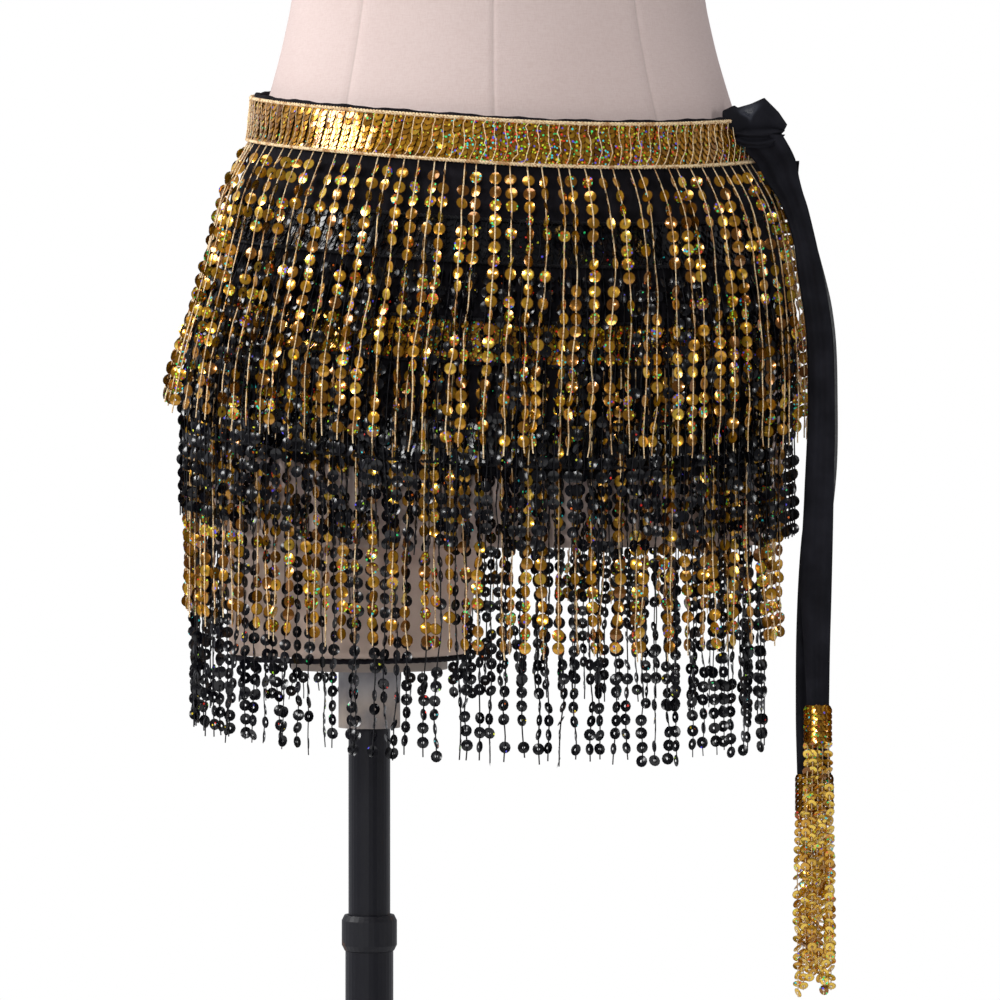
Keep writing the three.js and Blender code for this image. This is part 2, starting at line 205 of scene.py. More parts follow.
class Shader(Tree):
    """A material's node tree, with one Principled shader."""

    def __init__(self, name: str) -> None:
        """Starts a material.

        Args:
            name: The material's name.
        """
        self.material = bpy.data.materials.new(name)
        self.material.use_nodes = True
        super().__init__(self.material.node_tree)
        self.surface = self.tree.nodes["Principled BSDF"]
        self.output = self.tree.nodes["Material Output"]

    def mark(self, name: str) -> Value:
        """Returns a number that the mesh carries at each point."""
        return self.value("ShaderNodeAttribute", {"attribute_name": name}, {}, "Fac")

    def place(self) -> Value:
        """Returns the point in the object's own coordinates."""
        return self.value("ShaderNodeTexCoord", {}, {}, "Object")

    def across(self, axis: str) -> Value:
        """Returns the point's place along one axis of the object."""
        return self.value("ShaderNodeSeparateXYZ", {}, {0: self.place()}, axis)

    def noise(self, scale: float, detail: float = 2.0, where: Optional[Value] = None) -> Value:
        """Adds a noise texture.

        Args:
            scale: Its scale, per metre.
            detail: Its detail.
            where: The coordinates, or the object's own where there are none.

        Returns:
            The noise, about 0.5 on average.
        """
        inputs = {"Vector": where or self.place(), "Scale": scale, "Detail": detail}
        return self.value("ShaderNodeTexNoise", {}, inputs, "Fac")

    def mix(self, share: Any, low: Any, high: Any, blend: str = "MIX") -> Value:
        """Mixes two colours.

        Args:
            share: The share of the second colour.
            low: The first colour.
            high: The second colour.
            blend: The blend type.

        Returns:
            The mixed colour.
        """
        settings = {"data_type": "RGBA", "blend_type": blend, "clamp_factor": True}
        return self.value("ShaderNodeMix", settings, {0: share, 6: low, 7: high}, 2)

    def ramp(
        self, share: Value, stops: list[tuple[float, tuple[float, ...]]], step: bool = False
    ) -> Value:
        """Adds a colour ramp.

        Args:
            share: The ramp's factor.
            stops: Each stop's place and colour.
            step: Whether the colours change in steps.

        Returns:
            The colour.
        """
        made = self.node("ShaderNodeValToRGB", {"stops": stops}, {"Fac": share})
        made.color_ramp.interpolation = "CONSTANT" if step else "LINEAR"
        return Value(self, made.outputs["Color"])

    def stretched(self, scale: tuple[float, float, float]) -> Value:
        """Returns the object's coordinates, scaled by a number along each axis."""
        inputs = {0: self.place(), 1: scale}
        return self.value("ShaderNodeVectorMath", {"operation": "MULTIPLY"}, inputs)

    def bump(self, height: Value, strength: float, depth: float) -> Value:
        """Adds a bump.

        Args:
            height: The height, from 0 to 1.
            strength: The bump's strength.
            depth: The depth in metres.

        Returns:
            The normal.
        """
        inputs = {"Height": height, "Strength": strength, "Distance": depth}
        return self.value("ShaderNodeBump", {}, inputs)

    def dress(self, **inputs: Any) -> bpy.types.Material:
        """Feeds the Principled shader.

        Args:
            inputs: A value for each input, with underscores for the spaces in its name.

        Returns:
            The finished material.
        """
        for key, value in inputs.items():
            self.feed(self.surface.inputs[key.replace("_", " ")], value)
        return self.material

    def thin(self, clear: Value) -> None:
        """Lets light through the surface where clear is over 0.

        Args:
            clear: The share of the surface that is open.
        """
        gap = self.value("ShaderNodeBsdfTransparent", {}, {})
        mixed = self.value("ShaderNodeMixShader", {}, {0: clear, 1: self.surface.outputs[0], 2: gap})
        self.feed(self.output.inputs["Surface"], mixed)


# ---------------------------------------------------------------- finishes


Colour = tuple[float, float, float]


@dataclass(frozen=True)
class LinenFinish:
    """The form's pale cover: a fine plain weave with sewn seams."""

    pale: Colour = (0.74, 0.605, 0.57)
    shade: Colour = (0.68, 0.54, 0.505)
    stump_shade: Colour = (0.5, 0.37, 0.28)
    seam: Colour = (0.42, 0.34, 0.31)
    stump_shade_between: tuple[float, float] = (0.68, 0.8)

    def material(self) -> bpy.types.Material:
        """Returns the material."""
        s = Shader("linen_cover")
        cloud = s.noise(9.0, 4.0)
        weft = s.noise(1.0, 2.0, s.stretched((260.0, 260.0, 1900.0)))
        warp = s.noise(1.0, 2.0, s.stretched((1900.0, 1900.0, 260.0)))
        weave = (weft + warp) * 0.5
        ground = s.mix(cloud.ease(0.35, 0.7) * 0.7, self.pale, self.shade)
        woven = s.mix(weave.ease(0.35, 0.7) * 0.22, ground, self.shade, "MULTIPLY")
        # Painted shade: the cover is darker and warmer towards the stump, for the fringe's shadow and the
        # warm light bounced off the gold.
        low = 1 - s.across("Z").ease(*self.stump_shade_between)
        shaded = s.mix(low * (0.5 + 0.3 * cloud), woven, self.stump_shade)
        colour = s.mix(s.mark("seam") * 0.35, shaded, self.seam)
        return s.dress(Base_Color=colour, Roughness=0.85, Normal=s.bump(weave, 0.35, 0.3 * MM))


@dataclass(frozen=True)
class PaintFinish:
    """Black paint on steel, rubbed in a few places."""

    name: str = "black_paint"
    paint: Colour = (0.006, 0.006, 0.01)
    rubbed: Colour = (0.12, 0.06, 0.035)
    gloss: float = 0.32

    def material(self) -> bpy.types.Material:
        """Returns the material."""
        s = Shader(self.name)
        fine = s.noise(420.0, 3.0)
        patch = s.noise(46.0, 3.0)
        rub = patch.ease(0.66, 0.74) * fine.ease(0.45, 0.6)
        colour = s.mix(rub * 0.7, self.paint, self.rubbed)
        rough = self.gloss + 0.12 * patch + 0.25 * rub
        normal = s.bump(fine, 0.25, 0.1 * MM)
        return s.dress(Base_Color=colour, Roughness=rough, Specular_IOR_Level=0.35, Normal=normal)


@dataclass(frozen=True)
class CastFinish:
    """The grey moulded socket, slightly mottled, with a painted reflection towards its foot."""

    name: str = "grey_casting"
    pale: Colour = (0.33, 0.32, 0.335)
    dark: Colour = (0.14, 0.14, 0.16)
    painted_reflection: Colour = (0.4, 0.33, 0.28)
    painted_reflection_between: tuple[float, float] = (0.63, 0.65)

    def material(self) -> bpy.types.Material:
        """Returns the material."""
        s = Shader(self.name)
        cloud = s.noise(60.0, 4.0)
        grain = s.noise(900.0, 2.0)
        # Painted reflection: the casting is browner towards its foot.
        ground = s.mix(1 - s.across("Z").ease(*self.painted_reflection_between), self.pale, self.painted_reflection)
        colour = s.mix(cloud.ease(0.35, 0.75) * 0.8, ground, self.dark)
        rough = 0.45 + 0.15 * cloud
        return s.dress(Base_Color=colour, Roughness=rough, Normal=s.bump(grain, 0.3, 0.1 * MM))


@dataclass(frozen=True)
class KnitFinish:
    """Black knit cloth, with a fine rib and a faint bloom."""

    name: str = "black_knit"
    dark: Colour = (0.006, 0.0055, 0.0075)
    bloom: Colour = (0.016, 0.014, 0.019)

    def material(self) -> bpy.types.Material:
        """Returns the material."""
        s = Shader(self.name)
        rib = s.noise(1.0, 2.0, s.stretched((1500.0, 1500.0, 700.0)))
        cloud = s.noise(70.0, 3.0)
        colour = s.mix(cloud.ease(0.3, 0.8) * 0.8, self.dark, self.bloom)
        normal = s.bump(rib, 0.5, 0.4 * MM)
        return s.dress(Base_Color=colour, Roughness=0.85, Specular_IOR_Level=0.12, Normal=normal)


@dataclass(frozen=True)
class ChiffonFinish:
    """Thin black chiffon. Where it is one layer deep it lets a little light through, and its colour is
    painted lighter for the light behind it.
    """

    dark: Colour = (0.006, 0.006, 0.009)
    bloom: Colour = (0.015, 0.015, 0.021)
    sheer: Colour = (0.045, 0.048, 0.062)

    def material(self) -> bpy.types.Material:
        """Returns the material."""
        s = Shader("black_chiffon")
        crepe = s.noise(1700.0, 2.0)
        cloud = s.noise(55.0, 3.0)
        sheer = s.mark("sheer")
        folded = s.mix(cloud.ease(0.3, 0.75), self.dark, self.bloom)
        # Painted light: where the chiffon is one layer deep it is lightened to a bluish grey for the light
        # behind it, besides a slight real transparency.
        colour = s.mix(sheer, folded, self.sheer)
        s.thin(sheer * (0.03 + 0.05 * crepe.ease(0.4, 0.6)))
        normal = s.bump(crepe, 0.3, 0.15 * MM)
        return s.dress(Base_Color=colour, Roughness=0.8, Specular_IOR_Level=0.15, Normal=normal)


class Tone(Enum):
    """The scarf's two sequin colours."""

    GOLD = "gold"
    BLACK = "black"


@dataclass(frozen=True)
class SequinFinish:
    """Foil sequins. The marks on the mesh give each its own tint and its share of rainbow flecks."""

    tone: Tone
    deep: Colour
    mid: Colour
    bright: Colour
    roughness: float
    metal: float
    gloss: float = 0.8
    fleck_size: float = 1.35 * MM
    fleck_reach: float = 0.47
    most_flecks: float = 0.55
    rainbow: tuple[Colour, ...] = (
        (0.04, 1.0, 0.28),
        (1.0, 0.03, 0.01),
        (1.0, 0.75, 0.01),
        (0.05, 0.95, 1.0),
        (0.12, 0.1, 1.0),
        (0.5, 1.0, 0.02),
        (1.0, 0.18, 0.01),
        (0.95, 1.0, 0.05),
    )

    def material(self) -> bpy.types.Material:
        """Returns the material."""
        s = Shader(f"{self.tone.value}_sequin")
        tint = s.mark("tint")
        stops = [(0.0, self.deep), (0.5, self.mid), (1.0, self.bright)]
        foil = s.ramp(tint, stops)
        inputs = {"Vector": s.place(), "Scale": 1 / self.fleck_size}
        cells = s.node("ShaderNodeTexVoronoi", {}, inputs)
        near = Value(s, cells.outputs["Distance"])
        pick = s.value("ShaderNodeSeparateColor", {}, {0: cells.outputs["Color"]}, "Red")
        keep = s.value("ShaderNodeSeparateColor", {}, {0: cells.outputs["Color"]}, "Green")
        spot = (near < self.fleck_reach) * (keep < s.mark("fleck") * self.most_flecks)
        # Painted shade: the foil is darker at its rim and round its hole, for the shading of its cup.
        ring = s.mark("reach")
        foil = s.mix(1 - (ring * (1 - ring) * 4).ease(0.0, 0.75), foil, self.deep)
        steps = [(k / len(self.rainbow), colour) for k, colour in enumerate(self.rainbow)]
        colour = s.mix(spot, foil, s.ramp(pick, steps, step=True))
        grain = s.noise(700.0, 2.0)
        return s.dress(
            Base_Color=colour,
            Roughness=self.roughness + 0.12 * grain + 0.2 * spot,
            Metallic=self.metal * (1 - spot),
            Coat_Weight=self.gloss,
        )


@dataclass(frozen=True)
class ThreadFinish:
    """Twisted sewing thread, with painted shade along stretches of it."""

    name: str
    pale: Colour
    dark: Colour

    def material(self) -> bpy.types.Material:
        """Returns the material."""
        s = Shader(self.name)
        twist = s.noise(1.0, 2.0, s.stretched((700.0, 700.0, 1500.0)))
        # Painted shade: long stretches of the thread turn towards the dark brown, for thread lying in
        # shadow.
        shaded_stretch = s.noise(1.0, 1.0, s.stretched((160.0, 160.0, 60.0)))
        turned = twist.ease(0.3, 0.55) * (1 - 0.75 * shaded_stretch.ease(0.56, 0.66))
        colour = s.mix(turned, self.dark, self.pale)
        normal = s.bump(twist, 0.5, 0.3 * MM)
        return s.dress(Base_Color=colour, Roughness=0.6, Specular_IOR_Level=0.2, Normal=normal)


@dataclass(frozen=True)
class StageFinish:
    """The pale floor."""

    pale: Colour = (0.86, 0.86, 0.86)
    cloudy: Colour = (0.8, 0.8, 0.8)

    def material(self) -> bpy.types.Material:
        """Returns the material."""
        s = Shader("pale_floor")
        cloud = s.noise(1.5, 2.0)
        colour = s.mix(cloud * 0.1, self.pale, self.cloudy)
        return s.dress(Base_Color=colour, Roughness=0.9)


# ---------------------------------------------------------------- mesh kit


@dataclass
class Shape:
    """Points and faces for one mesh, with numbers at each point."""

    points: np.ndarray
    faces: list[np.ndarray]
    marks: dict[str, np.ndarray] = field(default_factory=dict)

    @staticmethod
    def grid(points: np.ndarray, closed: bool = False, **marks: np.ndarray) -> "Shape":
        """Makes a surface from rows of points.

        Args:
            points: The points, as rows by columns by 3.
            closed: Whether the last column joins the first.
            marks: Numbers for the points, as rows by columns.

        Returns:
            The surface.
        """
        rows, columns = points.shape[:2]
        i = np.arange(rows - 1)[:, None]
        j = np.arange(columns if closed else columns - 1)[None, :]
        k = (j + 1) % columns
        here, there = i * columns, (i + 1) * columns
        quads = np.stack([here + j, here + k, there + k, there + j], -1)
        flat = {name: np.broadcast_to(mark, (rows, columns)).reshape(-1) for name, mark in marks.items()}
        return Shape(points.reshape(-1, 3), [quads.reshape(-1, 4)], flat)

    @staticmethod
    def join(shapes: list["Shape"]) -> "Shape":
        """Gathers shapes into one.

        Args:
            shapes: The shapes, which carry the same marks.

        Returns:
            One shape.
        """
        starts = np.cumsum([0] + [len(shape.points) for shape in shapes])
        faces = [part + start for shape, start in zip(shapes, starts) for part in shape.faces]
        names = shapes[0].marks
        marks = {name: np.concatenate([shape.marks[name] for shape in shapes]) for name in names}
        return Shape(np.concatenate([shape.points for shape in shapes]), faces, marks)

    @staticmethod
    def tubes(lines: np.ndarray, radius: Any, sides: int, side_on: np.ndarray) -> "Shape":
        """Makes a tube along each of several lines.

        Args:
            lines: The lines, as lines by points by 3.
            radius: The radius, as a number or as lines by points.
            sides: The sides of a tube's section.
            side_on: A direction for each line that it never runs along.

        Returns:
            The tubes.
        """
        count, steps = lines.shape[:2]
        along = unit(np.gradient(lines, axis=1))
        across = unit(np.cross(along, side_on[:, None, :]))
        third = np.cross(along, across)
        turn = np.linspace(0, FULL_TURN, sides, endpoint=False)
        reach = np.broadcast_to(radius, (count, steps))[..., None, None]
        spin = np.cos(turn)[:, None] * across[:, :, None] + np.sin(turn)[:, None] * third[:, :, None]
        rings = lines[:, :, None] + reach * spin
        return Shape.join([Shape.grid(rings[n], closed=True) for n in range(count)])

    def stamp(self, centres: np.ndarray, axes: np.ndarray, marks: dict[str, np.ndarray]) -> "Shape":
        """Copies this shape to many places. Each copy keeps the shape's own marks.

        Args:
            centres: Each copy's place.
            axes: Each copy's three axes, as rows.
            marks: A number for each copy under each name.

        Returns:
            All copies as one shape.
        """
        size = len(self.points)
        points = np.einsum("pk,nkd->npd", self.points, axes) + centres[:, None]
        steps = (np.arange(len(centres)) * size)[:, None, None]
        faces = [(part[None] + steps).reshape(-1, part.shape[1]) for part in self.faces]
        spread = {name: np.repeat(mark, size) for name, mark in marks.items()}
        spread.update({name: np.tile(mark, len(centres)) for name, mark in self.marks.items()})
        return Shape(points.reshape(-1, 3), faces, spread)

    def build(self, name: str, material: bpy.types.Material) -> bpy.types.Object:
        """Makes the Blender object, which rides on the raised body.

        Args:
            name: The object's name.
            material: Its material.

        Returns:
            The object.
        """
        mesh = bpy.data.meshes.new(name)
        sizes = np.concatenate([np.full(len(part), part.shape[1]) for part in self.faces])
        corners = np.concatenate([part.reshape(-1) for part in self.faces]).astype(np.int32)
        mesh.vertices.add(len(self.points))
        mesh.vertices.foreach_set("co", self.points.astype(np.float32).reshape(-1))
        mesh.loops.add(len(corners))
        mesh.loops.foreach_set("vertex_index", corners)
        mesh.polygons.add(len(sizes))
        mesh.polygons.foreach_set("loop_start", (np.cumsum(sizes) - sizes).astype(np.int32))
        mesh.polygons.foreach_set("loop_total", sizes.astype(np.int32))
        mesh.polygons.foreach_set("use_smooth", np.full(len(sizes), True))
        for mark_name, mark in self.marks.items():
            layer = mesh.attributes.new(mark_name, "FLOAT", "POINT")
            layer.data.foreach_set("value", mark.astype(np.float32))
        mesh.update(calc_edges=True)
        mesh.validate()
        mesh.materials.append(material)
        made = bpy.data.objects.new(name, mesh)
        bpy.context.scene.collection.objects.link(made)
        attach(made, RAISED)
        log.info("%s: %d triangles", name, int((sizes - 2).sum()))
        return made


def unit(vectors: np.ndarray) -> np.ndarray:
    """Returns the vectors at length 1."""
    return vectors / (np.linalg.norm(vectors, axis=-1, keepdims=True) + 1e-12)


def ease(value: Any, low: float, high: float) -> Any:
    """Returns a smooth step from 0 at low to 1 at high."""
    share = np.clip((value - low) / (high - low), 0, 1)
    return share * share * (3 - 2 * share)


def through(places: Any, at: Any, values: Any) -> np.ndarray:
    """Follows a smooth curve through a few values.

    Args:
        places: Where to read the curve.
        at: The rising places of the values.
        values: The values, or rows of them.

    Returns:
        The curve at each place, and its end values beyond its ends.
    """
    at, values = np.asarray(at, float), np.asarray(values, float)
    ahead = np.minimum(np.arange(len(at)) + 1, len(at) - 1)
    behind = np.maximum(np.arange(len(at)) - 1, 0)
    if values.ndim == 2:
        columns = [through(places, at, values[:, k]) for k in range(values.shape[1])]
        return np.stack(columns, -1)
    slope = (values[ahead] - values[behind]) / (at[ahead] - at[behind])
    low = np.clip(np.searchsorted(at, places, side="right") - 1, 0, len(at) - 2)
    span = at[low + 1] - at[low]
    t = np.clip((np.asarray(places, float) - at[low]) / span, 0, 1)
    s = t * t * (3 - 2 * t)
    bend = t * (1 - t) ** 2 * span * slope[low] + t * t * (t - 1) * span * slope[low + 1]
    return values[low] * (1 - s) + values[low + 1] * s + bend


UP = np.array([0.0, 0.0, 1.0])


# ---------------------------------------------------------------- the dress form


Sections = tuple[tuple[float, float, float, float, float], ...]


@dataclass
class DressForm:
    """The linen-covered torso, its stump and the parts of its stand."""

    middle: float = 68 * MM
    # Each section's height, half width, reach to the front and to the back, and its middle's shift to the
    # right, in millimetres.
    sections: Sections = (
        (723, 152, 104, 112, 0),
        (750, 157, 109, 119, -0.8),
        (785, 161.5, 113, 125, -0.8),
        (825, 160, 113, 127, 1),
        (865, 153.2, 110, 121, 3.8),
        (905, 144.7, 107, 111, 5),
        (940, 135, 102, 101, 4.2),
        (970, 126, 97, 93, 3.3),
        (1000, 118, 92, 88, 3),
        (1030, 113, 90, 86, 3),
        (1065, 117, 92, 88, 3),
        (1110, 124, 98, 93, 3),
        (1160, 132, 108, 98, 3),
        (1210, 140, 120, 101, 3),
        (1260, 147, 113, 102, 3),
        (1310, 156, 93, 98, 3),
        (1345, 161, 76, 86, 3),
        (1368, 153, 66, 73, 3),
        (1384, 124, 60, 64, 3),
        (1398, 86, 55, 57, 3),
        (1414, 63, 52, 54, 3),
        (1450, 56, 50, 52, 3),
    )
    # The stump's sections have their own middle, to the left of the torso's.
    stump: Sections = (
        (663, 65, 66, 78, -80),
        (700, 68, 71, 83, -78),
        (745, 70, 76, 88, -76),
    )
    seam_turns: tuple[float, ...] = (-91.5, -50.6, -129.4, 0.0, 180.0, 90.0, 52.0, 128.0)
    seam_depth: float = 0.4 * MM
    seam_width: float = 1.1 * MM
    girth_radius: float = 130 * MM
    cord: float = 1.6 * MM
    cord_gap: float = 0.3 * MM
    cord_wraps: int = 90

    @staticmethod
    def read(sections: Sections, name: str, z: Any) -> np.ndarray:
        """Reads one column of some sections.

        Args:
            sections: The sections.
            name: The column: half, front, back or shift.
            z: The heights, in metres.

        Returns:
            The sizes at those heights, in metres.
        """
        place = {"half": 1, "front": 2, "back": 3, "shift": 4}[name]
        rows = np.array(sections)
        return through(np.asarray(z) / MM, rows[:, 0], rows[:, place]) * MM

    def column(self, name: str, z: Any) -> np.ndarray:
        """Returns one column of the torso's sections at some heights."""
        return self.read(self.sections, name, z)

    @staticmethod
    def oval(sizes: tuple[Any, Any, Any], middle: Any, turn: Any, off: Any, z: Any) -> np.ndarray:
        """Returns points on an oval that is flatter or fuller at the front than at the back.

        Args:
            sizes: The half width, and the reach to the front and to the back.
            middle: The oval's middle, along X.
            turn: The angle round the oval.
            off: The distance off it.
            z: The height.

        Returns:
            The points.
        """
        half, front, back = sizes
        deep = np.where(np.sin(turn) < 0, front, back)
        x = middle + (half + off) * np.cos(turn)
        y = (deep + off) * np.sin(turn)
        return np.stack(np.broadcast_arrays(x, y, z), -1)

    def turns(self) -> tuple[np.ndarray, np.ndarray]:
        """Works out the columns of the cover, with close ones at its seams.

        Returns:
            The angles, and for each 1 where it is a seam and 0 elsewhere.
        """
        seams = np.radians(self.seam_turns) % (FULL_TURN)
        beside = self.seam_width / self.girth_radius
        even = np.linspace(0, FULL_TURN, 120, endpoint=False)
        gap = np.abs((even[:, None] - seams + math.pi) % (FULL_TURN) - math.pi).min(1)
        angles = np.concatenate([even[gap > 1.5 * beside], seams, seams - beside, seams + beside])
        marks = np.concatenate([np.zeros((gap > 1.5 * beside).sum()), np.ones(len(seams))])
        marks = np.concatenate([marks, np.zeros(2 * len(seams))])
        order = np.argsort(angles % (FULL_TURN))
        return angles[order] % (FULL_TURN), marks[order]

    def cover(self, sections: Sections, steps: int, seamed: bool) -> Shape:
        """Lofts a closed cover.

        Args:
            sections: The sections that it follows.
            steps: How many levels it has.
            seamed: Whether it has the sewn seams.

        Returns:
            The cover, closed at both ends.
        """
        angles, marks = self.turns()
        marks = marks if seamed else marks * 0
        levels = np.linspace(sections[0][0] * MM, sections[-1][0] * MM, steps)
        z = levels[:, None]
        half, front, back = (self.read(sections, name, z) for name in ("half", "front", "back"))
        sizes = (half, front, back)
        middle = self.middle + self.read(sections, "shift", z)
        off = -self.seam_depth * marks[None, :]
        body = self.oval(sizes, middle, angles[None, :], off, z)
        core = np.zeros_like(body[:1])
        core[..., 0], core[..., 2] = np.mean(body[0, :, 0]), levels[0]
        top = core.copy()
        top[..., 0], top[..., 2] = np.mean(body[-1, :, 0]), levels[-1]
        rows = np.concatenate([core, body, top])
        return Shape.grid(rows, closed=True, seam=np.broadcast_to(marks, rows.shape[:2]))

    def piping(self) -> Shape:
        """Returns the covered cord round the stump's lower edge, with its wrapping's slight swells."""
        z, half, front, back, shift = (number * MM for number in self.stump[0])
        turn = np.linspace(0, FULL_TURN, 360, endpoint=False)[None, :]
        round_it = np.linspace(0, FULL_TURN, 10, endpoint=False)[:, None]
        thick = self.cord - 0.12 * MM * (1 + np.sin(turn * self.cord_wraps + round_it))
        off = -self.cord + thick * np.cos(round_it)
        low = z - self.cord - self.cord_gap + thick * np.sin(round_it)
        rows = self.oval((half, front, back), self.middle + shift, turn, off, low)
        return Shape.grid(np.concatenate([rows, rows[:1]]), closed=True)

    def build(self) -> None:
        """Builds the torso's cover, and dresses the parts of the form and its stand."""
        torso = self.cover(self.sections, 130, True)
        stump = self.cover(self.stump, 24, False)
        made = Shape.join([torso, stump]).build("form_cover", LinenFinish().material())
        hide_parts("form_torso")
        cord = self.piping().build("form_cord", KnitFinish("black_piping").material())
        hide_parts("form_piping")
        black = PaintFinish().material()
        finishes = {
            "form_neck_cap": black,
            "socket_plate": CastFinish("grey_plate", (0.42, 0.36, 0.32), (0.3, 0.25, 0.22)).material(),
            "pole_socket": CastFinish().material(),
            "upper_pole": black,
            "pole_collar": PaintFinish("black_collar", gloss=0.42).material(),
            "lower_pole": black,
            "stand_foot": PaintFinish("black_foot", gloss=0.5).material(),
        }
        for node, finish in finishes.items():
            part = bpy.data.objects[node]
            part.data.materials.clear()
            part.data.materials.append(finish)
            log.info("%s dressed", node)


# ---------------------------------------------------------------- the scarf's surface


@dataclass
class Drape:
    """The surface that the scarf lies on and hangs along."""

    form: DressForm
    waist: float = 963 * MM
    waist_side: float = -9 * MM
    waist_back: float = 11 * MM
    waist_lift: float = 7 * MM
    fullest: float = 785 * MM
    fullest_back: float = 825 * MM
    hem: float = 191 * MM
    slit_at_waist: float = 24 * MM
    slit_at_hem: float = 112 * MM
    band: float = 26.8 * MM
    band_lean: float = 0.35
    trim_first: float = 2.8 * MM
    trim_pitch: float = 53 * MM
    trim_height: float = 24 * MM
    samples: int = 720

    def at(self, turn: Any, drop: Any, off: Any) -> np.ndarray:
        """Returns points of the scarf.

        Args:
            turn: The angle round the form.
            drop: The drop below the waist edge.
            off: The distance off the form.

        Returns:
            The points.
        """
        edge = self.waist + self.waist_side * np.cos(turn) + self.waist_back * np.sin(turn)
        z = edge + self.waist_lift * np.maximum(np.cos(turn), 0) ** 2 - drop
        lean = (1 - self.band_lean) * np.maximum(self.band - drop, 0)
        level = z - lean
        sizes = (
            self.form.column("half", np.maximum(level, self.fullest)),
            self.form.column("front", np.maximum(level, self.fullest)),
            self.form.column("back", np.maximum(level, self.fullest_back)),
        )
        middle = self.form.middle + self.form.column("shift", np.maximum(level, self.fullest))
        return DressForm.oval(sizes, middle, turn, off, z)

    def outwards(self, turn: Any, drop: Any) -> np.ndarray:
        """Returns the level directions that point off the form."""
        step = self.at(turn, drop, 1 * MM) - self.at(turn, drop, 0.0)
        step[..., 2] = 0
        return unit(step)

    def lap(self, drop: float) -> tuple[np.ndarray, np.ndarray]:
        """Measures a trip round the form at one drop, from the slit's middle to the front and on.

        Args:
            drop: The drop.

        Returns:
            The angles, and the length up to each.
        """
        turns = -np.linspace(0, FULL_TURN, self.samples + 1)
        ring = self.at(turns, drop, 0.0)[:, :2]
        steps = np.linalg.norm(np.diff(ring, axis=0), axis=1)
        return turns, np.concatenate([[0.0], np.cumsum(steps)])

    def slit(self, drop: float) -> float:
        """Returns the width of the side slit at a drop."""
        share = min(max(drop / self.hem, 0.0), 1.0)
        return self.slit_at_waist + (self.slit_at_hem - self.slit_at_waist) * share

    def width(self, drop: float) -> float:
        """Returns the width of the cloth at a drop."""
        return self.lap(drop)[1][-1] - self.slit(drop)

    def turn_at(self, share: Any, drop: float) -> np.ndarray:
        """Returns the angles at shares of the cloth's width at a drop, from its front end."""
        turns, lengths = self.lap(drop)
        slit = self.slit(drop)
        along = slit / 2 + np.asarray(share) * (lengths[-1] - slit)
        return np.interp(along, lengths, turns)

    def trim_top(self, tier: int) -> float:
        """Returns the drop of a tier's trim."""
        return self.trim_first + tier * self.trim_pitch

    def trim_bottom(self, tier: int) -> float:
        """Returns the drop of a trim's lower edge."""
        return self.trim_top(tier) + self.trim_height


# ---------------------------------------------------------------- sequins and strings


@dataclass(frozen=True)
class Sequin:
    """One round sequin with a hole, slightly cupped."""

    radius: float = 3.35 * MM
    hole: float = 0.75 * MM
    cup: float = 0.35 * MM
    sides: int = 12
    bands: int = 2

    def shape(self) -> Shape:
        """Returns the sequin lying across its first two axes."""
        turn = np.linspace(0, FULL_TURN, self.sides, endpoint=False)
        radii = np.linspace(self.hole, self.radius, self.bands + 1)[:, None]
        heights = self.cup * (1 - ((radii - self.hole) / (self.radius - self.hole)) ** 2)
        rows = np.stack(np.broadcast_arrays(radii * np.cos(turn), radii * np.sin(turn), heights), -1)
        reach = np.linspace(0, 1, self.bands + 1)[:, None]
        return Shape.grid(rows, closed=True, reach=reach)


STRING_SEQUINS = {
    Tone.GOLD: Sequin(hole=0.5 * MM),
    Tone.BLACK: Sequin(radius=3.2 * MM, hole=0.68 * MM),
}
TRIM_SEQUIN = Sequin(radius=3.1 * MM, hole=0.45 * MM, cup=0.12 * MM, sides=10, bands=1)
SLEEVE_SEQUIN = Sequin(radius=2.9 * MM, hole=0.5 * MM, cup=0.2 * MM, sides=10)
TASSEL_SEQUIN = Sequin(radius=2.8 * MM, hole=0.6 * MM)


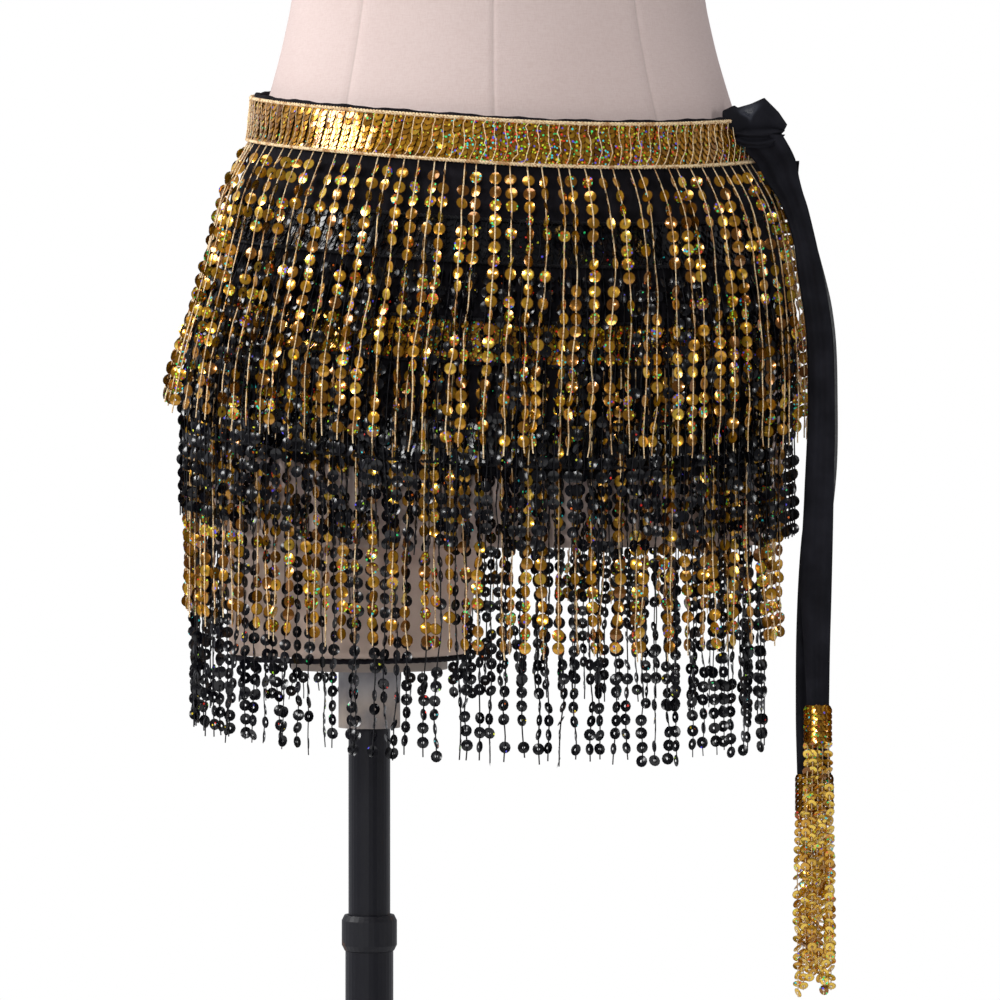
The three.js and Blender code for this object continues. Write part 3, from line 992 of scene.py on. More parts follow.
@dataclass
class Fringe:
    """One tier's strings of sequins."""

    drape: Drape
    tier: int
    tone: Tone
    sequin: bpy.types.Material
    thread: bpy.types.Material
    layer: float
    start: float = 4.2 * MM
    spacing: float = 7.6 * MM
    length: float = 152 * MM
    first: float = 8 * MM
    pitch: float = 7.35 * MM
    tangles: float = 0.12
    missing: float = 0.02
    edge_on: float = 0.18
    # How far the ends at the plain side swing out, and how much longer its strings are.
    flick: float = 0.0
    sag: float = 0.0
    # The drop over which a string swings out to its layer, and how far a stray one stands off it.
    swing_drop: float = 34 * MM
    stray: float = 5 * MM
    stray_share: float = 0.04
    thread_radius: float = 0.38 * MM
    thread_lift: float = 0.45 * MM
    bare_end: float = 1 * MM
    black_flecks: float = 0.12
    steps: int = 36

    def lines(self, rng: np.random.Generator) -> tuple[np.ndarray, np.ndarray]:
        """Hangs the strings.

        Args:
            rng: The source of their unevenness.

        Returns:
            The strings, as strings by points by 3, and each one's outward direction.
        """
        drape, top = self.drape, self.drape.trim_top(self.tier)
        bottom = drape.trim_bottom(self.tier)
        count = int(drape.width(top) / self.spacing)
        share = (np.arange(count) + 0.5 + rng.normal(0, 0.12, count)) / count
        turn = drape.turn_at(share, top)[:, None]
        length = self.length + rng.normal(0, 1.6 * MM, count)[:, None]
        plain = np.maximum(-np.cos(turn), 0)
        swing = self.flick * plain**8
        length = length + self.sag * plain - 1.5 * swing
        down = np.linspace(0, 1, self.steps)[None, :]
        hang = down * length
        swung = np.sin(np.clip(hang / self.swing_drop, 0, 1) * math.pi / 2)
        off = self.start + (self.layer - self.start) * swung
        off = off + rng.normal(0, 0.5 * MM, (count, 1)) * down + swing * down**3
        line = drape.at(turn, bottom + hang, off)
        out = drape.outwards(turn[:, 0], bottom + self.length / 2)
        aside = np.cross(UP, out)
        drift = rng.normal(0, 1.5 * MM, (count, 1)) * down**1.5
        for waves in (1.3, 2.6, 5.2):
            phase = rng.uniform(0, FULL_TURN, (count, 1))
            size = rng.normal(0, 0.9 * MM / waves**0.6, (count, 1))
            drift = drift + size * np.sin(waves * FULL_TURN * down + phase) * np.sqrt(down)
        caught = rng.random(count) < self.tangles
        caught[1:] &= ~caught[:-1]
        caught[-1] = False
        pull = ease(down, 0.5, 0.95) * self.spacing * 0.42
        reach = rng.uniform(0.4, 1.0, (count, 1))
        strays = (rng.random((count, 1)) < self.stray_share) * ease(down, 0.6, 1.0) * self.stray
        line = line + out[:, None, :] * strays[:, :, None]
        sign = caught.astype(float)[:, None]
        drift = drift - sign * pull * reach + np.roll(sign, 1, axis=0) * pull * np.roll(reach, 1, axis=0)
        return line + aside[:, None, :] * drift[:, :, None], out

    def place_sequins(
        self, lines: np.ndarray, out: np.ndarray, rng: np.random.Generator
    ) -> tuple[np.ndarray, np.ndarray, dict[str, np.ndarray]]:
        """Threads sequins on the strings.

        Args:
            lines: The strings.
            out: Each string's outward direction.
            rng: The source of their twist.

        Returns:
            The sequins' places, their axes and their marks.
        """
        count = len(lines)
        number = int((self.length + self.sag - self.first) / self.pitch) + 1
        at = self.first + self.pitch * np.arange(number)[None, :]
        at = at + rng.normal(0, 0.25 * MM, (count, number))
        run = np.linalg.norm(np.diff(lines, axis=1), axis=2).sum(1)[:, None]
        spot = np.clip(at / run, 0, 0.999) * (self.steps - 1)
        low = spot.astype(int)
        part = (spot - low)[..., None]
        rows = np.arange(count)[:, None]
        here, there = lines[rows, low], lines[rows, low + 1]
        centre = here * (1 - part) + there * part
        upward = unit(here - there)
        twist = rng.normal(0, 0.45, (count, 1)) + np.cumsum(rng.normal(0, 0.42, (count, number)), axis=1)
        turned = rng.random((count, number)) < self.edge_on
        twist = np.where(turned, twist + rng.uniform(0.9, 2.2, (count, number)), twist)
        lean = rng.normal(0, 0.13, (count, number))
        face = unit(out[:, None, :] - upward * (out[:, None, :] * upward).sum(-1, keepdims=True))
        aside = np.cross(upward, face)
        cos, sin = np.cos(twist)[..., None], np.sin(twist)[..., None]
        across = aside * cos - face * sin
        normal = face * cos + aside * sin
        tall = unit(upward * np.cos(lean)[..., None] + normal * np.sin(lean)[..., None])
        normal = np.cross(across, tall)
        axes = np.stack([across, tall, normal], -2)
        kept = ((rng.random((count, number)) > self.missing) & (at < run - self.bare_end)).reshape(-1)
        sparkle = np.clip(rng.random((count, number)) * 2.2 - 1.35, 0, 1) ** 0.6
        share = 1.0 if self.tone is Tone.GOLD else self.black_flecks
        marks = {
            "tint": np.clip(rng.normal(0.36, 0.27, (count, number)), 0, 1).reshape(-1)[kept],
            "fleck": share * sparkle.reshape(-1)[kept],
        }
        # The thread lies over the front of each sequin.
        centre = centre - out[:, None, :] * self.thread_lift
        return centre.reshape(-1, 3)[kept], axes.reshape(-1, 3, 3)[kept], marks

    def build(self) -> list[bpy.types.Object]:
        """Builds and returns the tier's strings and sequins."""
        rng = np.random.default_rng(100 + self.tier)
        lines, out = self.lines(rng)
        number = self.tier + 1
        threads = Shape.tubes(lines, self.thread_radius, 4, out)
        strings = threads.build(f"fringe_{number}_strings", self.thread)
        centres, axes, marks = self.place_sequins(lines, out, rng)
        discs = STRING_SEQUINS[self.tone].shape().stamp(centres, axes, marks)
        sequins = discs.build(f"fringe_{number}_sequins", self.sequin)
        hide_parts(f"fringe_{number}")
        return [strings, sequins]


@dataclass
class Trim:
    """One tier's trim: rows of lapped sequins between two braided cords."""

    drape: Drape
    tier: int
    tone: Tone
    sequin: bpy.types.Material
    thread: bpy.types.Material
    cloth: bpy.types.Material
    off: float = 5.0 * MM
    column_pitch: float = 5.3 * MM
    rows: int = 7
    cord_radius: float = 1.05 * MM
    cord_lift: float = 0.7 * MM
    cord_inset: float = 0.6 * MM
    strand_pitch: float = 3.6 * MM
    tape_depth: float = 0.7 * MM
    sequin_inset: float = 1.1 * MM
    stitch_inset: float = 0.8 * MM
    stitch_lift: float = 1.15 * MM
    stitch_radius: float = 0.3 * MM
    black_flecks: float = 0.06

    def backing(self) -> Shape:
        """Returns the tape that the sequins are sewn on."""
        drape = self.drape
        drops = np.linspace(drape.trim_top(self.tier), drape.trim_bottom(self.tier), 5)
        share = np.linspace(0, 1, 181)
        rows = [drape.at(drape.turn_at(share, drop), drop, self.off - self.tape_depth) for drop in drops]
        return Shape.grid(np.array(rows))

    def scales(self, rng: np.random.Generator) -> Shape:
        """Returns the lapped sequins.

        Args:
            rng: The source of their unevenness.

        Returns:
            The sequins as one shape.
        """
        drape = self.drape
        top = drape.trim_top(self.tier)
        columns = int(drape.width(top) / self.column_pitch)
        pitch = (drape.trim_height - 2 * self.sequin_inset) / self.rows
        share = (np.arange(columns)[:, None] + 0.5) / columns
        slant = self.lean(share) / columns
        level = np.arange(self.rows)[None, :]
        drop = top + self.sequin_inset + pitch * (level + 0.5)
        drop = drop + rng.normal(0, 0.15 * MM, (columns, self.rows))
        turn = drape.turn_at(share + slant * (0.5 - level / self.rows), top)
        out = drape.outwards(turn, drop)
        lift = self.off + 0.25 * MM * (np.arange(columns)[:, None] % 2)
        centre = drape.at(turn, drop, lift)
        upward = unit(drape.at(turn, drop - 1 * MM, lift) - drape.at(turn, drop + 1 * MM, lift))
        tilt = 0.2 + rng.normal(0, 0.035, (columns, self.rows))
        yaw = rng.normal(0, 0.04, (columns, self.rows))
        aside = np.cross(upward, out)
        across = unit(aside + out * np.sin(yaw)[..., None])
        tall = unit(upward - out * np.sin(tilt)[..., None])
        normal = unit(np.cross(across, tall))
        axes = np.stack([across, tall, normal], -2)
        zone = 0.5 + 0.5 * np.sin(share * 41.0 + 1.3) * np.sin(share * 17.0)
        zone = zone * (1 - 0.85 * ease(share, 0.33, 0.37) * (1 - ease(share, 0.56, 0.62)))
        amount = 1.0 if self.tone is Tone.GOLD else self.black_flecks
        marks = {
            "tint": np.clip(rng.normal(0.34, 0.16, (columns, self.rows)), 0, 1).reshape(-1),
            "fleck": amount * np.clip(zone + rng.normal(0, 0.12, (columns, self.rows)), 0, 1).reshape(-1),
        }
        return TRIM_SEQUIN.shape().stamp(centre.reshape(-1, 3), axes.reshape(-1, 3, 3), marks)

    @staticmethod
    def lean(share: Any) -> Any:
        """Returns how many columns the stitching leans over at a share of the trim's length."""
        return -0.8 - 0.35 * np.sin(share * 23.0) - 0.2 * np.sin(share * 61.0 + 1.0)

    def stitches(self, rng: np.random.Generator) -> Shape:
        """Returns the wavy thread that runs down each column of sequins.

        Args:
            rng: The source of its waver.

        Returns:
            The threads.
        """
        drape = self.drape
        top = drape.trim_top(self.tier)
        columns = int(drape.width(top) / self.column_pitch)
        down = np.linspace(0, 1, 10)[None, :]
        middle = (np.arange(columns)[:, None] + 0.5) / columns
        waver = 0.22 * np.sin(FULL_TURN * down + 0.6) + rng.normal(0, 0.06, (columns, 10))
        share = middle + (waver + self.lean(middle) * (0.5 - down)) / columns
        share = np.clip(share, 0, 1)
        drop = top + self.stitch_inset + down * (drape.trim_height - 2 * self.stitch_inset)
        off = self.off + self.stitch_lift + 0.12 * MM * np.cos(down * FULL_TURN * self.rows)
        turn = drape.turn_at(share, top)
        lines = drape.at(turn, drop, off)
        return Shape.tubes(lines, self.stitch_radius, 3, drape.outwards(turn[:, 0], top))

    def cords(self) -> Shape:
        """Returns the two braided cords along the trim's edges."""
        drape = self.drape
        strands = []
        top, bottom = drape.trim_top(self.tier), drape.trim_bottom(self.tier)
        for drop in (top + self.cord_inset, bottom - self.cord_inset):
            width = drape.width(drop)
            steps = int(width / (self.strand_pitch / 4))
            share = np.linspace(0, 1, steps)
            turn = drape.turn_at(share, drop)
            core = drape.at(turn, drop, self.off + self.cord_lift)
            out = drape.outwards(turn, drop)
            spin = share * width / self.strand_pitch * FULL_TURN
            for phase in (0.0, math.pi):
                sway = np.cos(spin + phase)[:, None] * out + np.sin(spin + phase)[:, None] * UP
                line = core + 0.55 * self.cord_radius * sway
                strands.append(Shape.tubes(line[None], 0.6 * self.cord_radius, 4, UP[None]))
        return Shape.join(strands)

    def build(self) -> list[bpy.types.Object]:
        """Builds and returns the trim's tape, sequins and cords."""
        rng = np.random.default_rng(200 + self.tier)
        number = self.tier + 1
        tape = self.backing().build(f"trim_{number}_tape", self.cloth)
        scales = self.scales(rng).build(f"trim_{number}_sequins", self.sequin)
        sewing = Shape.join([self.stitches(rng), self.cords()]).build(f"trim_{number}_cords", self.thread)
        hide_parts(f"trim_{number}")
        return [tape, scales, sewing]


# ---------------------------------------------------------------- the cloth


@dataclass
class BaseCloth:
    """The black wrap that the tiers are sewn on, and the binding along its waist edge."""

    drape: Drape
    cloth: bpy.types.Material
    off: float = 2.4 * MM

    def wrap(self, rng: np.random.Generator) -> Shape:
        """Returns the cloth, with soft creases that run down from the waist.

        Args:
            rng: The source of the creases.

        Returns:
            The cloth as one layer.
        """
        drape = self.drape
        drops = np.linspace(2 * MM, drape.hem, 64)
        share = np.linspace(0, 1, 300)
        rows = []
        creases = [(rng.random(), rng.uniform(0.006, 0.016), rng.normal(0, 0.7 * MM)) for _ in range(34)]
        for drop in drops:
            swell = sum(size * np.exp(-(((share - place) / wide) ** 2)) for place, wide, size in creases)
            swell = np.clip(swell * ease(drop, 0.02, 0.12), -0.8 * MM, 0.5 * MM)
            # By the tie the cloth's front edge stands off the form.
            loose = ease(drop, 0.012, 0.045) * (1 - ease(drop, 0.09, 0.16))
            swell = swell + 7.5 * MM * loose * np.exp(-((share / 0.028) ** 2))
            rows.append(drape.at(drape.turn_at(share, drop), drop, self.off + swell))
        return Shape.grid(np.array(rows))

    def binding(self) -> Shape:
        """Returns the rolled knit edge along the waist."""
        drape = self.drape
        share = np.linspace(0, 1, 260)
        turn = drape.turn_at(share, 0.0)
        profile = [(5.4, 1.6), (3.4, 1.5), (1.9, 1.6), (1.2, 2.0), (1.0, 2.6), (1.2, 3.3), (1.9, 3.8)]
        profile += [(3.2, 4.0), (5.0, 3.9)]
        ripple = 0.3 * MM * np.sin(share * 141.0) + 0.18 * MM * np.sin(share * 377.0 + 1.0)
        rows = [drape.at(turn, drop * MM - ripple, off * MM) for drop, off in profile]
        return Shape.grid(np.array(rows))

    def build(self, sewn_on: list[bpy.types.Object]) -> None:
        """Builds the wrap and its binding.

        Args:
            sewn_on: The trims' and fringes' pieces; not used.
        """
        rng = np.random.default_rng(7)
        wrap = self.wrap(rng).build("black_wrap", self.cloth)
        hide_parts("base_cloth")
        edge = self.binding().build("waist_edge", self.cloth)
        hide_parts("waist_binding")
        levels = np.linspace(0, self.drape.hem, 40)
        widths = np.array([self.drape.width(drop) for drop in levels])


# ---------------------------------------------------------------- the tie


@dataclass(frozen=True)
class Stop:
    """One place along a ribbon: its middle, its width and the direction that its width runs in."""

    middle: tuple[float, float, float]
    width: float
    across: tuple[float, float, float]


@dataclass
class Ribbon:
    """A gathered strip of chiffon that follows a few stops."""

    stops: list[Stop]
    pleats: float = 3.0
    depth: float = 1.2
    steps: int = 60
    columns: int = 28

    def surface(self, phase: float) -> np.ndarray:
        """Sweeps the strip.

        Args:
            phase: Where its pleats begin.

        Returns:
            The strip's points in millimetres, as steps by columns by 3.
        """
        at = np.arange(len(self.stops))
        where = np.linspace(0, len(self.stops) - 1, self.steps)
        middle = through(where, at, [s.middle for s in self.stops])
        across = unit(through(where, at, [s.across for s in self.stops]))
        width = through(where, at, [s.width for s in self.stops])
        along = unit(np.gradient(middle, axis=0))
        face = unit(np.cross(across, along))
        side = np.linspace(-0.5, 0.5, self.columns)
        fold = np.sin(side * self.pleats * FULL_TURN + phase + 0.4 * np.sin(where)[:, None])
        ripple = self.depth * fold * (1 - (2 * np.abs(side)) ** 4 * 0.6)
        spread = middle[:, None] + across[:, None] * (width[:, None] * side)[..., None]
        return spread + face[:, None] * ripple[..., None]


@dataclass(frozen=True)
class Tail:
    """One tail of the tie, and the sleeve and tassel at its end. Its sizes are in millimetres."""

    side: str
    # Each row's height, middle from the form's middle, width and plane, from the top.
    table: tuple[tuple[float, float, float, float], ...]
    flat: tuple[float, float]
    # How far its thin single layer shows beyond the fold, and where its folds begin.
    sheer_side: float
    phase: float
    # The sleeve's middle, plane, top and width.
    end: tuple[float, float, float]
    wide: float
    string_length: float
    strings: int


TAILS = (
    Tail(
        "front",
        (
            (945, 142.5, 28, -45),
            (937, 148.4, 26, -42),
            (931, 153, 22.5, -38),
            (921, 157.2, 18.5, -35),
            (908, 163.2, 13.8, -32.5),
            (889, 168.8, 12, -32),
            (872, 172, 13.5, -32),
            (838, 177, 14, -32),
            (800, 178.3, 14.5, -32),
            (750, 177, 16, -32),
            (700, 175.5, 17, -32),
            (665, 176, 14, -32),
            (636, 176.5, 12, -32),
        ),
        flat=(33, 310),
        sheer_side=0.0,
        phase=0.4,
        end=(176.5, -32.0, 635.7),
        wide=13.0,
        string_length=128.6,
        strings=5,
    ),
    Tail(
        "back",
        (
            (932, 161.8, 10, -25),
            (923, 161.8, 9.6, -23),
            (905, 166, 12, -23),
            (872, 173.5, 12, -23),
            (838, 179, 12, -23),
            (800, 180, 12.5, -23),
            (765, 179.5, 12.5, -23),
            (725, 175, 14, -23),
            (680, 173, 15, -23),
            (630, 173.5, 17, -23),
            (598, 175, 18.5, -23),
        ),
        flat=(28, 336),
        sheer_side=3.0,
        phase=1.9,
        end=(175.2, -23.0, 597.7),
        wide=19.4,
        string_length=103.6,
        strings=7,
    ),
)


@dataclass
class Tie:
    """The chiffon tie: straps, knot, bow, tails and their sequin tassels."""

    drape: Drape
    chiffon: bpy.types.Material
    sequin: bpy.types.Material
    thread: bpy.types.Material
    # The sleeves and tassels, in millimetres.
    sleeve_round: int = 14
    sleeve_rows: int = 6
    sleeve_pitch: float = 3.1
    sleeve_depth: float = 2.6
    sleeve_height: float = 18.0
    tassel_pitch: float = 4.9
    string_steps: int = 30

    def ribbon(self, ribbon: Ribbon, phase: float) -> Shape:
        """Places a ribbon beside the form's middle.

        Args:
            ribbon: The ribbon, in millimetres from the form's middle.
            phase: Where its pleats begin.

        Returns:
            The ribbon.
        """
        points = ribbon.surface(phase) * MM
        points[..., 0] += self.drape.form.middle
        return Shape.grid(points, sheer=np.zeros(points.shape[:2]))

    def knot(self) -> Shape:
        """Returns the gathered wrap behind the bow and the rolled fold across its front."""
        wrap = Ribbon(
            [
                Stop((151, -22.6, 942), 10, (0.1, 0, 1)),
                Stop((143.5, -27, 942.5), 12, (0.2, 0, 1)),
                Stop((143, -35, 942.5), 13, (0.25, 0, 1)),
                Stop((150, -39.5, 942), 13, (0.2, 0, 1)),
                Stop((153.5, -37.5, 942), 11, (0.1, 0, 1)),
                Stop((156, -31, 942), 10, (0.0, 0, 1)),
                Stop((155.5, -22.6, 942), 9, (0.0, 0, 1)),
            ],
            pleats=4.0,
            depth=0.6,
            columns=48,
        )
        roll = Ribbon(
            [
                Stop((128.8, -50, 944.2), 6, (0.3, 0.2, 1)),
                Stop((136, -51.5, 942.6), 10, (0.1, -0.4, 1)),
                Stop((144, -50, 942.4), 10.5, (0.0, -0.2, 1)),
                Stop((151, -46, 943.6), 9.5, (0.0, 0.1, 1)),
                Stop((157.3, -40, 945.8), 5.5, (0.0, 0.3, 1)),
            ],
            pleats=2.2,
            depth=1.3,
            columns=36,
        )
        return Shape.join([self.ribbon(wrap, 0.3), self.ribbon(roll, 1.1)])

    def bow(self) -> Shape:
        """Returns the bow: two layers that rise from the knot and meet in a fold along its crest."""
        base = np.array([[128.6, 943.6], [138.0, 943.0], [148.0, 944.2], [157.0, 946.4]])
        crest = np.array(
            [
                [123.6, 952.0],
                [123.8, 957.6],
                [130.3, 960.8],
                [132.2, 959.6],
                [139.4, 961.8],
                [146.8, 965.2],
                [154.8, 957.6],
                [159.6, 951.0],
                [158.4, 948.6],
            ]
        )
        run = np.concatenate([[0.0], np.cumsum(np.linalg.norm(np.diff(crest, axis=0), axis=1))])
        u = np.linspace(0, 1, 61)
        low = np.stack([np.interp(u, np.linspace(0, 1, len(base)), base[:, k]) for k in range(2)], -1)
        high = np.stack([np.interp(u, run / run[-1], crest[:, k]) for k in range(2)], -1)
        rows, sheer = [], []
        for v in np.linspace(0, 2, 33):
            rise = min(v, 2 - v)
            flat = low * (1 - rise) + high * rise
            side = -1 if v <= 1 else 1
            puff = (2.4 + 2.0 * np.sin(math.pi * u)) * math.sin(math.pi * rise) ** 0.8 * side
            folds = 0.75 * np.sin(u * 19 + 1.2 * v) * (1 - rise) + 0.55 * np.sin(u * 8.5 + 4.0 * rise + 1)
            middle = -51.5 + 15.5 * u
            rows.append(np.stack([flat[:, 0], middle + puff + folds, flat[:, 1]], -1))
            wide = 0.02 + 0.07 * ease(rise, 0.55, 0.9)
            thin = 5.0 * np.exp(-(((u - 0.4) / wide) ** 2) - ((rise - 0.76) / 0.16) ** 2)
            sheer.append(thin)
        points = np.array(rows) * MM
        points[..., 0] += self.drape.form.middle
        return Shape.grid(points, sheer=np.array(sheer))

    def straps(self) -> Shape:
        """Returns the two straps that reach from the cloth's ends to the knot."""
        front = [
            Stop((140.6, -9, 945.8), 15, (0.05, 0, 1)),
            Stop((148.5, -6.5, 944.2), 13, (0.05, 0, 1)),
            Stop((152, -12, 942.8), 11, (0.0, 0, 1)),
            Stop((152.3, -23.5, 942), 9, (0.0, 0, 1)),
        ]
        back = [
            Stop((139.8, 12.5, 947), 15, (-0.05, 0, 1)),
            Stop((150, 9, 945), 13, (0, 0, 1)),
            Stop((155, 0, 943.3), 11, (0, 0, 1)),
            Stop((154.5, -23.5, 942), 9, (0, 0, 1)),
        ]
        gathers = {"pleats": 4.0, "depth": 1.0, "steps": 30, "columns": 48}
        bands = [self.ribbon(Ribbon(stops, **gathers), n + 0.2) for n, stops in enumerate((front, back))]
        return Shape.join(bands)

    def tail(self, tail: Tail) -> Shape:
        """Returns one tail: a strip folded along its length, with soft folds running down it."""
        rows, phase = np.array(tail.table[::-1], float), tail.phase
        z = np.linspace(rows[-1, 0], rows[0, 0], 150)
        middle, width, plane = (through(z, rows[:, 0], rows[:, k])[:, None] for k in (1, 2, 3))
        down = ((rows[-1, 0] - z) / (rows[-1, 0] - rows[0, 0]))[:, None]
        turn = np.linspace(-1, 1, 57)[None, :]
        # Across the strip, from the front layer's free edge round the fold to the back layer's.
        side = 2 * np.abs(turn) - 1
        layer = np.sign(turn) * np.clip(np.abs(turn) * 12, 0, 1)
        gather = 0.8 * np.sin(side * 7.5 + phase * 2) * (1 - ease(down, 0.02, 0.16))
        folds = 0.55 * np.sin(2.3 * side * math.pi + phase + 1.6 * down) + gather
        folds = folds + 0.8 * np.sin(down * 17 + phase) * ease(down, 0.05, 0.3) * 0.6
        edge = ease(down, 0.12, 0.24) * (1 - ease(down, 0.6, 0.78)) * tail.sheer_side
        beyond = 0.6 * edge * ease(turn, 0.55, 1.0)
        x = middle + 0.5 * width * side + beyond
        depth = plane + 1.25 * layer + folds
        points = np.stack(np.broadcast_arrays(x, depth, z[:, None]), -1) * MM
        points[..., 0] += self.drape.form.middle
        sheer = ease(turn, 0.6, 0.8) * np.clip(edge / 3.0, 0, 1)
        return Shape.grid(points, sheer=np.broadcast_to(sheer, points.shape[:2]))

    def sleeve(self, tail: Tail, rng: np.random.Generator) -> Shape:
        """Returns the rows of lapped sequins round a tail's end.

        Args:
            tail: The tail.
            rng: The source of their unevenness.

        Returns:
            The sequins.
        """
        round_it, rows = self.sleeve_round, self.sleeve_rows
        x, y, top = tail.end
        turn = np.linspace(0, FULL_TURN, round_it, endpoint=False)[:, None]
        out = np.stack(np.broadcast_arrays(np.cos(turn), np.sin(turn) * 1.6, 0 * turn), -1)
        out = unit(np.broadcast_to(out, (round_it, rows, 3)))
        across_it, along_it = x + 0.5 * tail.wide * np.cos(turn), y + self.sleeve_depth * np.sin(turn)
        heights = top - 2 - self.sleeve_pitch * np.arange(rows)[None, :]
        centre = np.stack(np.broadcast_arrays(across_it, along_it, heights), -1)
        tall = unit(UP - out * (0.3 + rng.normal(0, 0.06, (round_it, rows, 1))))
        across = unit(np.cross(tall, out))
        axes = np.stack([across, tall, np.cross(across, tall)], -2)
        points = centre * MM
        points[..., 0] += self.drape.form.middle
        marks = {
            "tint": np.clip(rng.normal(0.3, 0.2, round_it * rows), 0, 1),
            "fleck": np.clip(rng.normal(0.15, 0.3, round_it * rows), 0, 1),
        }
        return SLEEVE_SEQUIN.shape().stamp(points.reshape(-1, 3), axes.reshape(-1, 3, 3), marks)

    def tassel(self, tail: Tail, rng: np.random.Generator) -> tuple[Shape, Shape]:
        """Returns a tail's strings and their sequins.

        Args:
            tail: The tail.
            rng: The source of their unevenness.

        Returns:
            The strings and the sequins.
        """
        x, y, top = tail.end
        wide, length, count = tail.wide, tail.string_length, tail.strings
        steps = self.string_steps
        down = np.linspace(0, 1, steps)[None, :]
        reach = length * rng.uniform(0.88, 1.0, (count, 1))
        beside = (np.linspace(-0.42, 0.42, count) * wide)[:, None]
        spread = 1 + 2.6 / wide * ease(down, 0.05, 0.4)
        waver = rng.normal(0, 0.9, (count, 1)) * np.sin(down * rng.uniform(4, 9, (count, 1)))
        depth = y + rng.uniform(-2.2, 2.2, (count, 1))
        line = np.stack(
            np.broadcast_arrays(
                x + beside * spread + waver * down,
                depth + rng.normal(0, 0.7, (count, 1)) * np.sin(5 * down),
                top - self.sleeve_height - reach * down,
            ),
            -1,
        )
        line = line * MM
        line[..., 0] += self.drape.form.middle
        threads = Shape.tubes(line, 0.3 * MM, 4, np.tile([0.0, -1.0, 0.0], (count, 1)))
        number = int(length / self.tassel_pitch)
        at = (np.arange(number) + 0.8) / (number + 0.3) * (steps - 1)
        low = at.astype(int)
        part = (at - low)[None, :, None]
        centre = line[:, low] * (1 - part) + line[:, low + 1] * part
        turn = rng.normal(0, 0.5, (count, number))
        lean = rng.normal(0.5, 0.22, (count, number))
        across = np.stack([np.cos(turn), np.sin(turn), 0 * turn], -1)
        face = np.stack([np.sin(turn), -np.cos(turn), 0 * turn], -1)
        tall = UP * np.cos(lean)[..., None] + face * np.sin(lean)[..., None]
        axes = np.stack([across, tall, np.cross(across, tall)], -2)
        total = count * number
        marks = {
            "tint": np.clip(rng.normal(0.8, 0.36, total), 0, 1),
            "fleck": np.clip(rng.random(total) * 1.6 - 0.8, 0, 1),
        }
        discs = TASSEL_SEQUIN.shape().stamp(centre.reshape(-1, 3), axes.reshape(-1, 3, 3), marks)
        return threads, discs

    def build(self) -> None:
        """Builds the tie."""
        rng = np.random.default_rng(31)
        parts = [
            ("tie_wrap", self.knot(), ["tie_knot"], (24, 58)),
            ("tie_bow", self.bow(), ["tie_loop"], (34, 34)),
            ("tie_bands", self.straps(), ["tie_strap_front", "tie_strap_back"], (24, 70)),
        ]
        ornaments: dict[str, list[bpy.types.Object]] = {}
        for tail in TAILS:
            side, cloth = tail.side, f"tail_{tail.side}_cloth"
            parts.append((cloth, self.tail(tail), [f"tail_{side}"], tail.flat))
            sleeve = self.sleeve(tail, rng).build(f"tail_{side}_sequins", self.sequin)
            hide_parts(f"tail_trim_{side}")
            threads, discs = self.tassel(tail, rng)
            tassel = discs.build(f"tassel_{side}_sequins", self.sequin)
            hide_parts(f"tassel_{side}")
            strings = threads.build(f"tassel_{side}_strings", self.thread)
            ornaments[cloth] = [sleeve, tassel, strings]
        for name, shape, nodes, flat in parts:
            made = shape.build(name, self.chiffon)
            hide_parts(*nodes)
            size, hung = (flat[0] * MM, flat[1] * MM), ornaments.get(name, [])


# ---------------------------------------------------------------- the stage


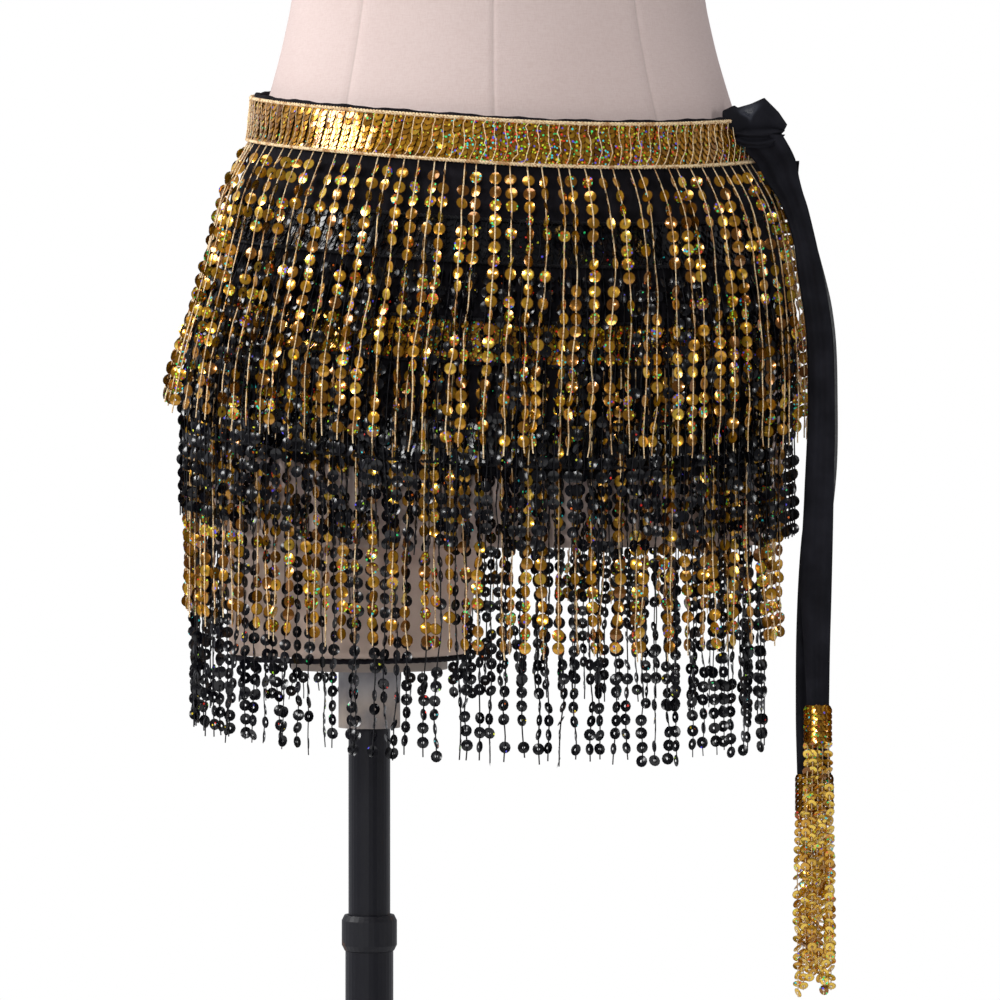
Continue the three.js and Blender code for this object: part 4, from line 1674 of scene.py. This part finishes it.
@dataclass
class Stage:
    """The pale floor, the soft light and the camera."""

    form: DressForm
    distance: float = 2.6
    height: float = 0.78
    view_width: float = 0.55
    view_middle: float = 0.747
    sensor: float = 36.0
    view_shift: float = 0.007
    studio_white: Colour = (0.94, 0.95, 1.0)
    backdrop_white: Colour = (1.0, 1.0, 1.0)
    dim_side: float = 0.12
    bright_side: float = 0.55
    aim_height: float = 0.8
    floor_reach: float = 2.3

    def camera(self) -> None:
        """Sets the camera level, straight in front of the form."""
        data = bpy.data.cameras.new("view")
        data.sensor_width = self.sensor
        data.lens = self.sensor * self.distance / self.view_width
        data.shift_x = self.view_shift
        data.shift_y = (self.view_middle - self.height) / self.view_width
        made = bpy.data.objects.new("view", data)
        made.location = (self.form.middle, -self.distance, self.height)
        made.rotation_euler = (math.radians(90), 0, 0)
        bpy.context.scene.collection.objects.link(made)
        bpy.context.scene.camera = made

    def light(
        self, name: str, place: tuple[float, float, float], size: tuple[float, float], glow: float
    ) -> None:
        """Adds a softbox that faces the scarf.

        Args:
            name: Its name.
            place: Where it stands.
            size: Its width and height.
            glow: Its brightness, in times the white of the surroundings.
        """
        data = bpy.data.lights.new(name, "AREA")
        data.shape = "RECTANGLE"
        data.size, data.size_y = size
        data.energy = glow * math.pi * size[0] * size[1]
        made = bpy.data.objects.new(name, data)
        made.location = place
        aim = np.array([self.form.middle, 0.0, self.aim_height]) - np.array(place)
        flat = math.hypot(aim[0], aim[1])
        made.rotation_euler = (math.atan2(flat, -aim[2]), 0, math.atan2(aim[1], aim[0]) - math.pi / 2)
        bpy.context.scene.collection.objects.link(made)

    def surroundings(self) -> None:
        """Makes the white studio round the scarf."""
        world = bpy.data.worlds.new("studio")
        bpy.context.scene.world = world
        world.use_nodes = True
        tree = Tree(world.node_tree)
        # The studio is bright behind the form and dim on the camera's side.
        where = tree.value("ShaderNodeTexCoord", {}, {}, "Generated")
        depth = tree.value("ShaderNodeSeparateXYZ", {}, {0: where}, "Y")
        strength = depth.ease(-0.35, 0.5) * (self.bright_side - self.dim_side) + self.dim_side
        lit = {"Color": self.studio_white, "Strength": strength}
        around = tree.value("ShaderNodeBackground", {}, lit)
        seen_white = {"Color": self.backdrop_white, "Strength": 1.0}
        white = tree.value("ShaderNodeBackground", {}, seen_white)
        seen = tree.value("ShaderNodeLightPath", {}, {}, "Is Camera Ray")
        mixed = tree.value("ShaderNodeMixShader", {}, {0: seen, 1: around, 2: white})
        tree.feed(world.node_tree.nodes["World Output"].inputs["Surface"], mixed)

    def floor(self) -> None:
        """Lays the floor that the stand's foot rests on."""
        turn = np.linspace(0, FULL_TURN, 96, endpoint=False)
        radii = (1 * MM, self.floor_reach)
        rows = [np.stack([r * np.cos(turn), r * np.sin(turn), 0 * turn], -1) for r in radii]
        mesh = bpy.data.meshes.new("floor")
        shape = Shape.grid(np.array(rows), closed=True)
        mesh.from_pydata(shape.points.tolist(), [], shape.faces[0].tolist())
        mesh.materials.append(StageFinish().material())
        made = bpy.data.objects.new("floor", mesh)
        bpy.context.scene.collection.objects.link(made)

    def build(self) -> None:
        """Sets the stage."""
        bpy.context.scene.view_settings.view_transform = "Standard"
        self.camera()
        self.surroundings()
        self.floor()
        self.light("key", (-2.2, -0.4, 1.8), (1.2, 0.6), 17.0)
        self.light("side", (-1.3, -2.2, 1.5), (0.4, 0.45), 24.0)
        self.light("fill", (2.4, -1.1, 1.3), (0.3, 0.8), 13.0)
        self.light("top", (-0.4, -1.3, 3.0), (1.0, 0.8), 6.0)
        self.light("front", (-0.45, -3.6, 1.5), (0.36, 0.32), 40.0)


# ---------------------------------------------------------------- the whole


# What is special to each tier's fringe, from the waist down.
TIERS: tuple[dict[str, float], ...] = (
    {"layer": 11.8 * MM, "flick": 8 * MM},
    {"layer": 8.6 * MM, "missing": 0.03, "edge_on": 0.27, "spacing": 4.5 * MM},
    {"layer": 5.8 * MM},
    {
        "layer": 2.6 * MM,
        "missing": 0.03,
        "edge_on": 0.2,
        "spacing": 7.1 * MM,
        "tangles": 0.26,
        "sag": 5.5 * MM,
        "length": 154.5 * MM,
    },
)


def main() -> None:
    """Builds the form, the scarf and the stage, in order."""
    logging.basicConfig(level=logging.INFO, format="%(name)s: %(message)s")
    form = DressForm()
    Stage(form).build()
    form.build()
    drape = Drape(form)
    knit = KnitFinish().material()
    sequins = {
        Tone.GOLD: SequinFinish(
            Tone.GOLD, (0.24, 0.085, 0.004), (0.68, 0.33, 0.012), (1.0, 0.67, 0.085), 0.12, 0.65
        ).material(),
        Tone.BLACK: SequinFinish(
            Tone.BLACK, (0.002, 0.002, 0.003), (0.003, 0.003, 0.005), (0.006, 0.006, 0.01), 0.13, 0.0, 0.0
        ).material(),
    }
    threads = {
        Tone.GOLD: ThreadFinish("gold_thread", (1.0, 0.8, 0.5), (0.5, 0.24, 0.08)).material(),
        Tone.BLACK: ThreadFinish("black_thread", (0.012, 0.012, 0.015), (0.004, 0.004, 0.005)).material(),
    }
    sewn_on: list[bpy.types.Object] = []
    for tier, hang in enumerate(TIERS):
        tone = Tone.BLACK if tier % 2 else Tone.GOLD
        cords = threads[Tone.BLACK if tier else Tone.GOLD]
        sewn_on += Trim(drape, tier, tone, sequins[tone], cords, knit).build()
        sewn_on += Fringe(drape, tier, tone, sequins[tone], threads[tone], **hang).build()
    BaseCloth(drape, knit).build(sewn_on)
    Tie(drape, ChiffonFinish().material(), sequins[Tone.GOLD], threads[Tone.GOLD]).build()


if __name__ == "__main__":
    main()
